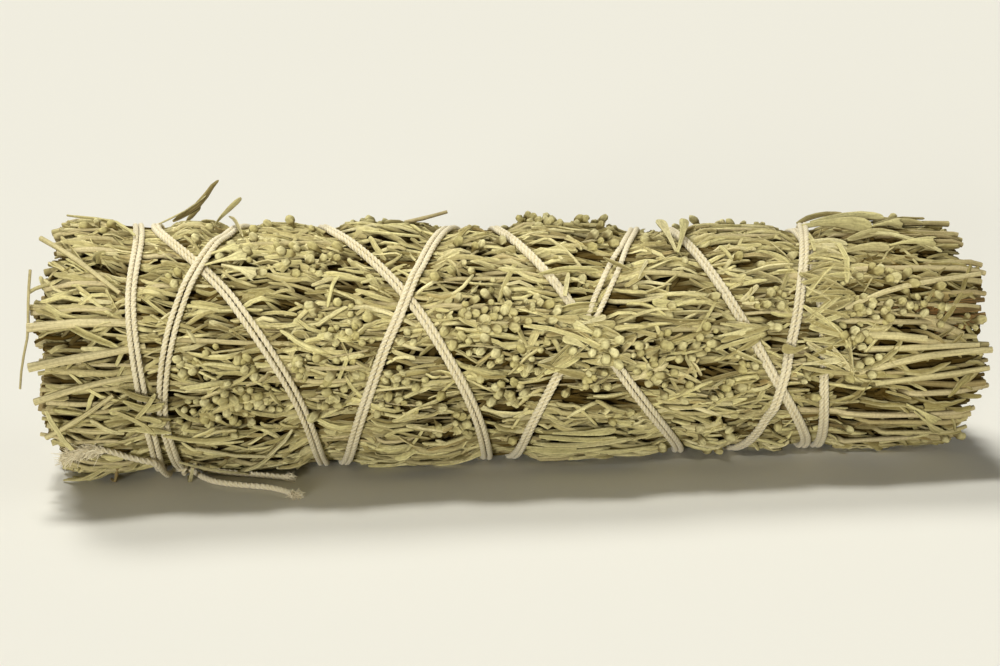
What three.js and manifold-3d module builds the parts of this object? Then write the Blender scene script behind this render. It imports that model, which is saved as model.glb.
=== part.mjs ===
// Desert sage smudge stick: cut sagebrush sprigs packed side by side into a round stick and bound with
// cotton twine laid double. The twine winds along to the narrower end and back again, over its own first
// turns, and is knotted low on the wider end.
//
// Millimetres. +X runs along the stick from its wider end to its narrower end, +Z is up, and the stick
// lies on Z = 0. Angles round the stick are in degrees from the top, over the -Y side and underneath.
import * as THREE from "three";
import { mergeVertices } from "three/addons/utils/BufferGeometryUtils.js";
import Module from "manifold-3d";

// The stick
const LENGTH = 222;
const RADIUS_WIDE_END = 29.4; // to the tips of the leaves
const RADIUS_NARROW_END = 25.9;
const SETTLE = 1.0; // how far the stick's own weight has pressed its underside flat

// The sprigs: rings of wedge-shaped bundles about one in the middle
const LEAF_FRINGE = 2.3; // the loose leaves that stand outside the packed sprigs
const SPRIG_GAP = 0.45;
const RING_NAMES = ["core", "inner", "middle", "outer"];
const RING_COUNTS = [1, 6, 12, 18];
const RING_EDGES = [0, 2.6, 11.5, 19.3, RADIUS_WIDE_END - LEAF_FRINGE];
const SPRIG_SIDES = 10;
const SPRIG_STEPS = 6;
const CORNER_ROUNDING = 0.52; // exponent of the rounded wedge: 1 is an ellipse, 0 a sharp corner
const SWELL = 0.07; // how much thinner a sprig is where it has fewer leaves
const SWELL_WAVE = 9; // radians of swelling and thinning over a sprig's length
const END_SCATTER = 3.5; // how unevenly the sprigs are cut
const GOLDEN_SHARE = 0.618;
const TWINE_CLEARANCE_Z = 2.0; // the sprigs underneath stay above the twine that passes below them
const RESTING_ANGLES = [160, 180, 200]; // the outer sprigs whose leaves the stick lies on
const RESTING_SIDES = 16;
const WOODY_ANGLE = 60; // an old stem among the outer sprigs, bare at the narrow end
const WOODY_BARE_FROM = 74;
const WOODY_BARE_FILL = 0.62;

// The twine
const TWINE_RADIUS = 0.65;
const STRAND_OFFSET = 0.8; // each strand from the middle line of the pair
const TWINE_SINK = 1.0; // how far the twine's middle lies inside the tips of the leaves
const TWINE_LOW_Z = 0.95;
const LAYER = 1.9; // one twine crossing over another
const TWINE_SIDES = 6;
const TWINE_STEPS = 216;
const GROOVE_CLEARANCE = 0.55;

// The pair's middle line as [angle wound so far, x]. It leaves the knot under the stick, goes up the
// back and down the front each turn, out to the narrow end and back.
const WINDING = [
  [-192, -78.9], [-180, -79.6], [-150, -80], [-110, -82.5], [-70, -87.4], [-30, -88.6], [17, -87.4],
  [57, -88.8], [99, -86.9], [131, -85], [180, -84.4], [250, -84.7], [290, -83.7], [330, -83.4],
  [369, -82.6], [417, -66], [463, -53.2], [509, -48], [540, -47.4], [630, -46.4], [690, -45.8],
  [722, -44.5], [787, -24.3], [830, -14], [872, -9.8], [900, -9.6], [990, -7.8], [1050, -6.2],
  [1085, -4.8], [1138, 8.4], [1167, 17.7], [1221, 33.6], [1260, 36.4], [1350, 36.4], [1410, 35.6],
  [1443, 35.8], [1470, 39.4], [1496, 44.6], [1521, 50.6], [1578, 64.2], [1620, 66], [1710, 65.6],
  [1800, 65.4], [1860, 65.7], [1900, 66.2], [1941, 68.5], [1980, 69.8], [2070, 69.8], [2130, 69],
  [2170, 65.6], [2219, 60.6], [2244, 57.6], [2302, 51.4], [2340, 47], [2430, 36.4], [2500, 28],
  [2529, 24.6], [2586, 12.1], [2609, 5.4], [2640, -0.6], [2675, -3.2], [2700, -4], [2730, -4.8],
  [2790, -7.8], [2850, -13.6], [2880, -18.2], [2936, -29], [2962, -34.6], [3000, -40.2], [3042, -42.6],
  [3060, -43.2], [3088, -44.6], [3150, -54], [3210, -62], [3252, -68], [3301, -79], [3341, -82.8],
  [3375, -81.2], [3394, -79.9],
];
// Where a later turn lies on an earlier one: [angle wound so far, how far to either side it is lifted]
const CROSSINGS = [
  [265, 46], [2171, 54], [2262, 22], [2430, 50], [2588, 20], [2790, 54], [2933, 20], [3104, 32], [3276, 32],
];
const LIFT_FLAT = 0.55; // share of a crossing over which the later turn is at its full height
const WOUND_FROM = WINDING[0][0];
const WOUND_TO = WINDING[WINDING.length - 1][0];
const GROOVE_REACH = 40; // degrees either side of the underside
const GROOVE_STEPS = 7;

// The knot and the ends of the twine that stand out of it
const KNOT_DETAIL = 2;
const KNOT_CUT_DETAIL = 1;
const KNOT_AT = [-79.5, -9.6, 1.9];
const KNOT_HALF = [2.5, 2.2, 1.5];
const TAIL_SIDES = 8;
const TAIL_STEPS = 12;
const TAIL_CUT_SIDES = 6;
const TAIL_CUT_STEPS = 9;
const TAILS = {
  twine_tail_left: [
    [-82.4, -10.8, 1.2], [-82.8, -13.8, 1.6], [-83.7, -17.3, 3.6], [-85, -20.7, 6.5], [-87.6, -22, 7.6],
    [-91, -22.8, 8.9], [-94.6, -23.9, 10.6], [-98, -24.5, 11.4], [-101, -23.9, 10.8], [-103.6, -22.6, 9.4],
  ],
  twine_tail_right_upper: [
    [-76.6, -8.9, 1.6], [-73.5, -9.9, 1.15], [-69, -11.5, 0.9], [-64, -13.3, 0.85], [-59.5, -15.2, 0.85],
    [-55.6, -17, 0.85],
  ],
  twine_tail_right_lower: [
    [-76.8, -11.1, 1.2], [-75, -14.2, 0.9], [-71.6, -18.2, 0.85], [-66.4, -21, 0.85], [-60.8, -23.2, 0.85],
    [-56.8, -26.2, 0.85], [-54.4, -29.6, 0.85],
  ],
};

// Materials
const SAGE_LEAF = "#a9a878";
const OLD_WOOD = "#6b4a2c";
const COTTON = "#ded4aa";

const wasm = await Module();
wasm.setup();

const radians = THREE.MathUtils.degToRad;
const smooth = (t) => t * t * (3 - 2 * t);

// Outside radius of the leaves at x.
const stickRadius = (x) => THREE.MathUtils.lerp(RADIUS_WIDE_END, RADIUS_NARROW_END, x / LENGTH + 0.5);

// A point at x, a distance from the stick's middle and an angle round it. The underside is level all
// along, so the middle sinks towards the narrow end.
function stickPoint(x, distance, degrees, lowest) {
  const angle = radians(degrees);
  const middle = stickRadius(x) - SETTLE;
  return new THREE.Vector3(
    x,
    -distance * Math.sin(angle),
    Math.max(middle + distance * Math.cos(angle), lowest),
  );
}

// The closed geometry with only merged positions left, as booleans and warped solids need it.
function bare(geometry) {
  geometry.deleteAttribute("normal");
  geometry.deleteAttribute("uv");
  return mergeVertices(geometry, 1e-4);
}

function solidOf(geometry) {
  const merged = bare(geometry.clone());
  return new wasm.Manifold(
    new wasm.Mesh({
      numProp: 3,
      vertProperties: merged.attributes.position.array,
      triVerts: new Uint32Array(merged.index.array),
    }),
  );
}

function geometryOf(solid) {
  const mesh = solid.getMesh();
  const geometry = new THREE.BufferGeometry();
  geometry.setAttribute("position", new THREE.BufferAttribute(mesh.vertProperties, 3));
  geometry.setIndex(new THREE.BufferAttribute(mesh.triVerts, 1));
  return geometry;
}

// How far back from the stick's end a sprig is cut, from none to END_SCATTER, different for each.
const cutBack = (number) => END_SCATTER * THREE.MathUtils.euclideanModulo(number * GOLDEN_SHARE, 1);

// A rounded wedge, unit half-size: u across the ring, v round it.
function wedgeOutline(sides) {
  const points = [];
  for (let i = 0; i < sides; i++) {
    const t = (2 * Math.PI * (i + 0.5)) / sides;
    const side = (value) => Math.sign(value) * Math.abs(value) ** CORNER_ROUNDING;
    points.push(new THREE.Vector2(side(Math.cos(t)), side(Math.sin(t))));
  }
  return new THREE.Shape(points);
}

// One sprig as the room it takes in the stick: a rounded wedge carried along the stick from cut to cut.
function sprigGeometry({ inner, outer, degrees, halfDegrees, from, to, sides, lowest, swell, bareFrom }) {
  const run = { depth: 1, steps: SPRIG_STEPS, bevelEnabled: false };
  const geometry = bare(new THREE.ExtrudeGeometry(wedgeOutline(sides), run));
  const place = geometry.attributes.position;
  const corner = new THREE.Vector3();
  for (let i = 0; i < place.count; i++) {
    corner.fromBufferAttribute(place, i);
    const x = THREE.MathUtils.lerp(from, to, corner.z);
    const narrowing = stickRadius(x) / RADIUS_WIDE_END;
    const leafy = 1 - swell * (0.5 + 0.5 * Math.sin(SWELL_WAVE * corner.z + degrees));
    const fill = x > bareFrom ? WOODY_BARE_FILL : leafy;
    let distance = (inner + outer) / 2 + (corner.x * fill * (outer - inner)) / 2;
    let angle = degrees + corner.y * fill * halfDegrees;
    if (inner === 0) {
      distance = outer * fill * Math.hypot(corner.x, corner.y);
      angle = THREE.MathUtils.radToDeg(Math.atan2(corner.y, corner.x));
    }
    const at = stickPoint(x, distance * narrowing, angle, lowest);
    place.setXYZ(i, at.x, at.y, at.z);
  }
  return geometry;
}

// Where the middle line of the doubled twine has got to along the stick: a smooth curve through WINDING.
function woundX(wound) {
  const next = WINDING.findIndex(([angle]) => angle >= wound);
  const i = next < 0 ? WINDING.length - 1 : Math.max(next, 1);
  const [before, beforeX] = WINDING[Math.max(i - 2, 0)];
  const [angle0, x0] = WINDING[i - 1];
  const [angle1, x1] = WINDING[i];
  const [after, afterX] = WINDING[Math.min(i + 1, WINDING.length - 1)];
  const span = angle1 - angle0;
  const slope0 = ((x1 - beforeX) / (angle1 - before)) * span;
  const slope1 = ((afterX - x0) / (after - angle0)) * span;
  const t = (wound - angle0) / span;
  const a = 2 * t ** 3 - 3 * t ** 2;
  return (a + 1) * x0 + (t ** 3 - 2 * t ** 2 + t) * slope0 - a * x1 + (t ** 3 - t ** 2) * slope1;
}

// How far a later turn is lifted to pass over an earlier one.
function crossingLift(wound) {
  const lifts = CROSSINGS.map(([at, reach]) => {
    const away = Math.min(Math.abs(wound - at) / reach, 1);
    return smooth(Math.min((1 - away) / (1 - LIFT_FLAT), 1));
  });
  return LAYER * Math.max(...lifts);
}

function woundPoint(wound) {
  const x = woundX(wound);
  return stickPoint(x, stickRadius(x) - TWINE_SINK + crossingLift(wound), wound, TWINE_LOW_Z);
}

// An outline carried round the stick along the winding: its x lies across the pair, its y points out.
function woundGeometry(outline, from, to, steps) {
  const geometry = bare(new THREE.ExtrudeGeometry(outline, { depth: 1, steps, bevelEnabled: false }));
  const place = geometry.attributes.position;
  const corner = new THREE.Vector3();
  for (let i = 0; i < place.count; i++) {
    corner.fromBufferAttribute(place, i);
    const wound = THREE.MathUtils.lerp(from, to, corner.z);
    const along = woundPoint(wound + 1).sub(woundPoint(wound - 1));
    const out = new THREE.Vector3(0, -Math.sin(radians(wound)), Math.cos(radians(wound)));
    const across = out.clone().cross(along).normalize();
    const at = woundPoint(wound).addScaledVector(across, corner.x).addScaledVector(out, corner.y);
    place.setXYZ(i, at.x, at.y, at.z);
  }
  return geometry;
}

function roundOutline(radius, sides, middle) {
  const points = [];
  for (let i = 0; i < sides; i++) {
    const t = (2 * Math.PI * i) / sides;
    points.push(new THREE.Vector2(middle + radius * Math.cos(t), radius * Math.sin(t)));
  }
  return new THREE.Shape(points);
}

function tubeGeometry(path, radius, sides, steps) {
  const outline = roundOutline(radius, sides, 0);
  return new THREE.ExtrudeGeometry(outline, { steps, extrudePath: path, bevelEnabled: false });
}

const tailPath = (points) => new THREE.CatmullRomCurve3(points.map((p) => new THREE.Vector3(...p)));

function knotGeometry(extra, detail) {
  const geometry = new THREE.IcosahedronGeometry(1, detail);
  geometry.scale(...KNOT_HALF.map((half) => half + extra));
  geometry.translate(...KNOT_AT);
  return geometry;
}

// What the knot, the tails and each pass of the twine press out of the sprigs underneath.
function pressedRoom() {
  const room = TWINE_RADIUS + GROOVE_CLEARANCE;
  const across = STRAND_OFFSET + room;
  const groove = new THREE.Shape([
    new THREE.Vector2(-across, -room - GROOVE_CLEARANCE / 2),
    new THREE.Vector2(across, -room - GROOVE_CLEARANCE / 2),
    new THREE.Vector2(across, room),
    new THREE.Vector2(-across, room),
  ]);
  const cuts = [solidOf(knotGeometry(2 * GROOVE_CLEARANCE, KNOT_CUT_DETAIL))];
  for (const points of Object.values(TAILS)) {
    const path = tailPath([KNOT_AT, ...points]);
    cuts.push(solidOf(tubeGeometry(path, room + GROOVE_CLEARANCE / 2, TAIL_CUT_SIDES, TAIL_CUT_STEPS)));
  }
  for (let under = -180; under < WOUND_TO + 90; under += 360) {
    const from = Math.max(under - GROOVE_REACH, WOUND_FROM - 4);
    const to = Math.min(under + GROOVE_REACH, WOUND_TO + 4);
    cuts.push(solidOf(woundGeometry(groove, from, to, GROOVE_STEPS)));
  }
  return cuts;
}

const leaf = () => new THREE.MeshStandardMaterial({ color: SAGE_LEAF, roughness: 0.92, metalness: 0 });
const wood = () => new THREE.MeshStandardMaterial({ color: OLD_WOOD, roughness: 0.85, metalness: 0 });
const cotton = () => new THREE.MeshStandardMaterial({ color: COTTON, roughness: 0.9, metalness: 0 });

const stick = new THREE.Group();

function addPiece(name, geometry, material) {
  const mesh = new THREE.Mesh(geometry, material);
  mesh.name = name;
  stick.add(mesh);
}

// Sprigs, ring by ring from the middle. Each is cut a little short of the stick's full length, which the
// lowest one has. The three lowest reach down to the surface and are pressed in by the twine.
const pressed = pressedRoom();
let number = 0;
RING_COUNTS.forEach((count, ring) => {
  const inner = RING_EDGES[ring];
  const edge = RING_EDGES[ring + 1];
  for (let i = 0; i < count; i++) {
    number += 1;
    const degrees = (360 / count) * i;
    const outermost = ring === RING_COUNTS.length - 1;
    const resting = outermost && RESTING_ANGLES.includes(degrees);
    const outer = resting ? RADIUS_WIDE_END : edge - SPRIG_GAP / 2;
    const middle = (inner + edge) / 2;
    const gapDegrees = ring === 0 ? 0 : THREE.MathUtils.radToDeg(SPRIG_GAP / 2 / middle);
    const woody = outermost && degrees === WOODY_ANGLE;
    const whole = outermost && degrees === 180;
    const geometry = sprigGeometry({
      inner: ring === 0 ? inner : inner + SPRIG_GAP / 2,
      outer,
      degrees,
      halfDegrees: 180 / count - gapDegrees,
      from: -LENGTH / 2 + (whole ? 0 : cutBack(number)),
      to: LENGTH / 2 - (whole ? 0 : cutBack(number * number)),
      sides: resting ? RESTING_SIDES : SPRIG_SIDES,
      lowest: resting ? 0 : TWINE_CLEARANCE_Z,
      swell: resting ? 0 : SWELL,
      bareFrom: woody ? WOODY_BARE_FROM : LENGTH,
    });
    const place = count === 1 ? "" : `_${String(i + 1).padStart(2, "0")}`;
    const name = woody ? "sprig_woody" : `sprig_${RING_NAMES[ring]}${place}`;
    if (resting) {
      const shape = pressed.reduce((left, cut) => left.subtract(cut), solidOf(geometry));
      const pieces = shape.decompose().sort((a, b) => b.volume() - a.volume());
      addPiece(name, geometryOf(pieces[0]), leaf()); // without the slivers that the cuts leave
    } else {
      addPiece(name, geometry, woody ? wood() : leaf());
    }
  }
});

// The twine: two strands side by side, the knot, and its cut ends.
[-STRAND_OFFSET, STRAND_OFFSET].forEach((offset, i) => {
  const outline = roundOutline(TWINE_RADIUS, TWINE_SIDES, offset);
  addPiece(`twine_strand_${i + 1}`, woundGeometry(outline, WOUND_FROM, WOUND_TO, TWINE_STEPS), cotton());
});
addPiece("twine_knot", bare(knotGeometry(0, KNOT_DETAIL)), cotton());
for (const [name, points] of Object.entries(TAILS)) {
  addPiece(name, bare(tubeGeometry(tailPath(points), TWINE_RADIUS, TAIL_SIDES, TAIL_STEPS)), cotton());
}

export default stick;
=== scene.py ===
import math

import bpy
import numpy as np
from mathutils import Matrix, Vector


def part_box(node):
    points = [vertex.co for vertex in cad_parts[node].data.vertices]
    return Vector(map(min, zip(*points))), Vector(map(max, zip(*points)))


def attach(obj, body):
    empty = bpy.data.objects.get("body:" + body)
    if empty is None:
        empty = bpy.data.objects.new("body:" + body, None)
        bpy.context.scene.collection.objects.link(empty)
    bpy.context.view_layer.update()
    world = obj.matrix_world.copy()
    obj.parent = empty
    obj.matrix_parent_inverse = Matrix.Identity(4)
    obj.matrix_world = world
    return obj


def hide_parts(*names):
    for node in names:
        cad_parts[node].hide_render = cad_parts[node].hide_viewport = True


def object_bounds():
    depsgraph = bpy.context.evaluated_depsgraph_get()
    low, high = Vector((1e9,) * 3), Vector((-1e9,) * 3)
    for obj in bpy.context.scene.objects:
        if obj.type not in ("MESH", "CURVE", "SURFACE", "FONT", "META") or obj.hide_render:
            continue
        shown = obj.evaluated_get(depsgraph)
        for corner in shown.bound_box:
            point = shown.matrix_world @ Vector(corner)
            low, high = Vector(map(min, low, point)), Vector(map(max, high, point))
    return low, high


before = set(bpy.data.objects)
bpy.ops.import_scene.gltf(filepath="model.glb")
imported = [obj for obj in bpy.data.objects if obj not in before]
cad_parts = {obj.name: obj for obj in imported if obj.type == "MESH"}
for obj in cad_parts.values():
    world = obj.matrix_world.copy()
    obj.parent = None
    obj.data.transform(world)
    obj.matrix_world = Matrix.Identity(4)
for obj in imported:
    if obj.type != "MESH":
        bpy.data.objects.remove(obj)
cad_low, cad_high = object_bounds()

# ---------------------------------------------------------------- Camera
# A long lens a little above the stick, turned slightly towards its wider, left-hand end.
CAMERA_AZIMUTH = -7
CAMERA_ELEVATION = 14
CAMERA_DISTANCE = 0.4976
LENS = 76.25
LENS_SHIFT = (-0.0225, 0.0035)
AIM = Vector((0, 0, 0.028))


def way_to(azimuth, elevation):
    """The way from the stick to the camera or a lamp.

    The azimuth is degrees round from the front towards the narrow end, the elevation degrees up.
    """
    azimuth, elevation = math.radians(azimuth), math.radians(elevation)
    return Vector((
        math.sin(azimuth) * math.cos(elevation), -math.cos(azimuth) * math.cos(elevation),
        math.sin(elevation),
    ))


away = way_to(CAMERA_AZIMUTH, CAMERA_ELEVATION)
bpy.ops.object.camera_add(
    location=AIM + away * CAMERA_DISTANCE, rotation=away.to_track_quat("Z", "Y").to_euler()
)
camera = bpy.context.object
camera.name = "camera"
camera.data.lens = LENS
camera.data.shift_x, camera.data.shift_y = LENS_SHIFT
bpy.context.scene.camera = camera

# ---------------------------------------------------------------- Ends of the twine
# Three-ply cotton twine laid double. Its cut ends stand out of the knot low on the wide end: one goes up
# over the leaves to the left and is frayed, two lie on the table to the right.
MM = 0.001
TWINE_RADIUS = 0.68 * MM
TAIL_RADIUS = 0.74 * MM  # the free ends are not pulled tight
PLY_DEPTH = 0.18  # how deep the valleys between the plies are, as a share of the twine's radius
TWIST_LENGTH = 3.9 * MM  # one whole turn of the three plies
YARN_SIDES = 12
YARN_STEP = 0.6 * MM
COTTON_PALE = "#ece1c0"
COTTON_DARK = "#cdbd8c"
TAILS = {
    "twine_tail_left": [
        (-82.4, -10.8, 1.2), (-82.8, -13.8, 1.6), (-83.7, -17.3, 3.6), (-85, -20.7, 6.5),
        (-87.6, -22, 7.6), (-91, -22.8, 8.9), (-94.6, -23.9, 10.6), (-98, -24.5, 11.4),
        (-101, -23.9, 10.8), (-103.6, -22.6, 9.4),
    ],
    "twine_tail_right_upper": [  # from under the knot's front, over its top and down behind it
        (-79.2, -11.6, 1.1), (-79.1, -12.5, 2.6), (-78.7, -11, 4.3), (-78.1, -8.7, 4.3),
        (-77.3, -7.4, 2.9), (-76.2, -8.3, 1.5), (-73.5, -9.9, 1.15), (-69, -11.5, 0.9),
        (-64, -13.3, 0.85), (-59.5, -15.2, 0.85), (-55.6, -17, 0.85),
    ],
    "twine_tail_right_lower": [
        (-76.8, -11.1, 1.2), (-75, -14.2, 0.9), (-71.6, -18.2, 0.85), (-66.4, -21, 0.85),
        (-60.8, -23.2, 0.85), (-56.8, -26.2, 0.85), (-54.4, -29.6, 0.85),
    ],
}
# How each end is frayed: the way its fibres point, their length in millimetres, their spread, how many,
# and over how many steps of the yarn they come loose
FRAYS = {
    "twine_tail_left": ((-1, 0.15, -0.35), 3.0, 0.3, 620, 14),
    "twine_tail_right_upper": ((1, -0.35, 0.1), 1.2, 0.3, 110, 2),
    "twine_tail_right_lower": ((0.35, -0.6, -0.2), 1.8, 0.35, 150, 3),
}
FIBRE_RINGS = 6
FIBRE_SIDES = 3


def linear(colour):
    """A colour written as #rrggbb, as the linear values that a shader takes."""
    shares = [int(colour[i:i + 2], 16) / 255 for i in (1, 3, 5)]
    return tuple(s / 12.92 if s <= 0.04045 else ((s + 0.055) / 1.055) ** 2.4 for s in shares) + (1,)


def node(tree, kind, *links, **settings):
    """A new shader node with its options. Each link is an input and the output or value that it takes."""
    made = tree.nodes.new("ShaderNode" + kind)
    for name, value in settings.items():
        setattr(made, name, value)
    for name, value in links:
        if isinstance(value, bpy.types.NodeSocket):
            tree.links.new(value, made.inputs[name])
        else:
            made.inputs[name].default_value = value
    return made


def mixed(tree, share, first, second, blend="MIX"):
    """The colour that lies share of the way from the first colour to the second."""
    made = node(tree, "Mix", (0, share), (6, first), (7, second), data_type="RGBA", blend_type=blend)
    return made.outputs[2]


def ranged(tree, value, low, high, to_low=0.0, to_high=1.0):
    """A value between low and high, spread between to_low and to_high."""
    made = node(tree, "MapRange", ("Value", value), ("From Min", low), ("From Max", high),
                ("To Min", to_low), ("To Max", to_high))
    return made.outputs["Result"]


def new_material(name, roughness):
    """A dull material, as all of them are here."""
    material = bpy.data.materials.new(name)
    material.use_nodes = True
    surface = material.node_tree.nodes["Principled BSDF"]
    surface.inputs["Roughness"].default_value = roughness
    surface.inputs["Specular IOR Level"].default_value = 0.08
    return material, material.node_tree, surface


def build_fibres():
    """Streaks that run along a piece, from its own (along, across, seed) coordinates."""
    tree = bpy.data.node_groups.new("fibres", "ShaderNodeTree")
    tree.interface.new_socket("Grain", in_out="INPUT", socket_type="NodeSocketVector")
    tree.interface.new_socket("Along", in_out="INPUT", socket_type="NodeSocketFloat")
    tree.interface.new_socket("Across", in_out="INPUT", socket_type="NodeSocketFloat")
    tree.interface.new_socket("Streak", in_out="OUTPUT", socket_type="NodeSocketFloat")
    inputs = tree.nodes.new("NodeGroupInput").outputs
    outputs = tree.nodes.new("NodeGroupOutput").inputs
    scale = node(tree, "CombineXYZ", ("X", inputs["Along"]), ("Y", inputs["Across"]), ("Z", 37.0))
    where = node(tree, "VectorMath", (0, inputs["Grain"]), (1, scale.outputs[0]), operation="MULTIPLY")
    streak = node(tree, "TexNoise", ("Vector", where.outputs[0]), ("Scale", 1.0), ("Detail", 3.0),
                  ("Roughness", 0.6))
    tree.links.new(streak.outputs["Fac"], outputs["Streak"])
    return tree


fibres = build_fibres()


def streaks(tree, grain, along, across):
    return node(tree, "Group", ("Grain", grain), ("Along", along), ("Across", across),
                node_tree=fibres).outputs["Streak"]


def noise(tree, scale, detail):
    """Cloudy values over the piece, with about as many clouds in a metre as the scale."""
    place = node(tree, "TexCoord").outputs["Object"]
    return node(tree, "TexNoise", ("Vector", place), ("Scale", scale), ("Detail", detail)).outputs["Fac"]


def carried(tree):
    """What a piece's points carry: their grain coordinates, then the three parts of their tint."""
    grain = node(tree, "Attribute", attribute_name="grain").outputs["Vector"]
    tint = node(tree, "Attribute", attribute_name="tint").outputs["Vector"]
    parts = node(tree, "SeparateXYZ", ("Vector", tint)).outputs
    return grain, parts["X"], parts["Y"], parts["Z"]


def build_cotton():
    """Undyed cotton: cream plies with dirt and painted shade in the valleys, fine fibres along each ply."""
    material, tree, surface = new_material("cotton", 0.9)
    grain, valley, _, _ = carried(tree)
    strands = streaks(tree, grain, 0.5, 9.0)
    # dirt and painted shade in the valleys between the plies
    valley_dirt_and_shade = node(tree, "Math", (0, valley), (1, ranged(tree, noise(tree, 120.0, 2.0), 0.35, 0.7, 0.45, 1.0)),
                operation="MULTIPLY").outputs[0]
    colour = mixed(tree, valley_dirt_and_shade, linear(COTTON_PALE), linear(COTTON_DARK))
    colour = mixed(tree, ranged(tree, strands, 0.35, 0.75, 0.0, 0.3), colour, linear(COTTON_DARK))
    tree.links.new(colour, surface.inputs["Base Color"])
    bump = node(tree, "Bump", ("Height", strands), ("Strength", 0.5), ("Distance", 0.08 * MM))
    tree.links.new(bump.outputs["Normal"], surface.inputs["Normal"])
    surface.inputs["Sheen Weight"].default_value = 0.25
    return material


cotton = build_cotton()


def through(points, step):
    """Places a step apart along one smooth curve through the points."""
    points = np.array(points, float)
    ends = [2 * points[0] - points[1]], [2 * points[-1] - points[-2]]
    knots = np.concatenate([ends[0], points, ends[1]])
    line = []
    for a, b, c, d in zip(knots, knots[1:], knots[2:], knots[3:]):
        t = np.linspace(0, 1, 40, endpoint=False)[:, None]
        line.append(0.5 * (2 * b + (c - a) * t + (2 * a - 5 * b + 4 * c - d) * t ** 2
                           + (3 * b - a - 3 * c + d) * t ** 3))
    return evenly(np.concatenate(line + [points[-1:]]), step)


def run_along(line):
    """How far along the line each of its points is."""
    return np.concatenate([[0], np.cumsum(np.linalg.norm(np.diff(line, axis=0), axis=1))])


def evenly(line, step):
    """The same line with its points a step apart."""
    run = run_along(line)
    count = max(2, round(run[-1] / step) + 1)
    marks = np.linspace(0, run[-1], count)
    return np.stack([np.interp(marks, run, line[:, i]) for i in range(3)], axis=1)


def smooth(t):
    """0 below 0, 1 above 1, and an even curve between them."""
    t = np.clip(t, 0, 1)
    return t * t * (3 - 2 * t)


def unit(vectors):
    return vectors / np.maximum(np.linalg.norm(vectors, axis=-1, keepdims=True), 1e-12)


class Handful:
    """Shapes gathered into one piece: their points, faces, finishes and the values that colour them."""

    def __init__(self):
        self.count = 0
        self.points, self.corners, self.sizes = [], [], []
        self.finishes, self.grain, self.tint = [], [], []

    def add(self, points, corners, sizes, grain, tint, finish=0):
        """points (n, 3), the faces' corners and sizes, and for each point its grain and tint."""
        self.points.append(points)
        self.corners.append(np.asarray(corners) + self.count)
        self.sizes.append(np.asarray(sizes))
        self.finishes.append(np.broadcast_to(finish, len(sizes)))
        self.grain.append(grain)
        self.tint.append(tint)
        self.count += len(points)

    def make(self, name, materials, sharp_degrees=50):
        """The piece as an object whose place is in its mesh."""
        points, corners, sizes = map(np.concatenate, (self.points, self.corners, self.sizes))
        mesh = bpy.data.meshes.new(name)
        mesh.vertices.add(len(points))
        mesh.vertices.foreach_set("co", points.astype(np.float32).ravel())
        mesh.loops.add(len(corners))
        mesh.loops.foreach_set("vertex_index", corners.astype(np.int32))
        mesh.polygons.add(len(sizes))
        starts = np.concatenate([[0], np.cumsum(sizes)[:-1]])
        mesh.polygons.foreach_set("loop_start", starts.astype(np.int32))
        mesh.polygons.foreach_set("material_index", np.concatenate(self.finishes).astype(np.int32))
        for key, values in (("grain", self.grain), ("tint", self.tint)):
            attribute = mesh.attributes.new(key, "FLOAT_VECTOR", "POINT")
            attribute.data.foreach_set("vector", np.concatenate(values).astype(np.float32).ravel())
        for material in materials:
            mesh.materials.append(material)
        mesh.update(calc_edges=True)
        mesh.validate()
        piece = bpy.data.objects.new(name, mesh)
        bpy.context.scene.collection.objects.link(piece)
        bpy.ops.object.select_all(action="DESELECT")
        piece.select_set(True)
        bpy.context.view_layer.objects.active = piece
        bpy.ops.object.shade_smooth_by_angle(angle=math.radians(sharp_degrees))
        return piece


def rings_faces(rings, sides):
    """The faces of a closed tube of rings, with a flat face at each end."""
    faces = []
    for ring in range(rings - 1):
        for side in range(sides):
            next_side = (side + 1) % sides
            near, far = ring * sides, (ring + 1) * sides
            faces += [near + side, near + next_side, far + next_side, far + side]
    sizes = [4] * ((rings - 1) * sides)
    faces += list(range(sides))[::-1] + [(rings - 1) * sides + side for side in range(sides)]
    return faces, sizes + [sides, sides]


def spin_yarn(handful, line, radius, seed):
    """A three-ply yarn along the line: a three-lobed section carried along it and turned as it goes."""
    along = unit(np.gradient(line, axis=0))
    up = np.empty_like(line)
    up[0] = unit(np.cross(along[0], (0.3, 0.2, 1)))
    for i in range(1, len(line)):
        up[i] = unit(up[i - 1] - along[i] * (up[i - 1] @ along[i]))
    across = np.cross(along, up)
    run = run_along(line)
    side = 2 * math.pi * np.arange(YARN_SIDES) / YARN_SIDES
    valley = 0.5 - 0.5 * np.cos(3 * side)
    reach = np.reshape(radius, (-1, 1)) * (1 - PLY_DEPTH * valley)
    turned = side[None, :] + 2 * math.pi * run[:, None] / TWIST_LENGTH
    points = (line[:, None] + up[:, None] * (reach * np.cos(turned))[..., None]
              + across[:, None] * (reach * np.sin(turned))[..., None])
    corners, sizes = rings_faces(len(line), YARN_SIDES)
    grain = np.zeros(points.shape)
    grain[..., 0] = run[:, None] / MM
    grain[..., 1] = np.sin(side)[None, :] + 0.3 * np.cos(2 * side)[None, :]
    grain[..., 2] = seed
    tint = np.zeros(points.shape)
    tint[..., 0] = valley[None, :]
    handful.add(points.reshape(-1, 3), corners, sizes, grain.reshape(-1, 3), tint.reshape(-1, 3))


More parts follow.
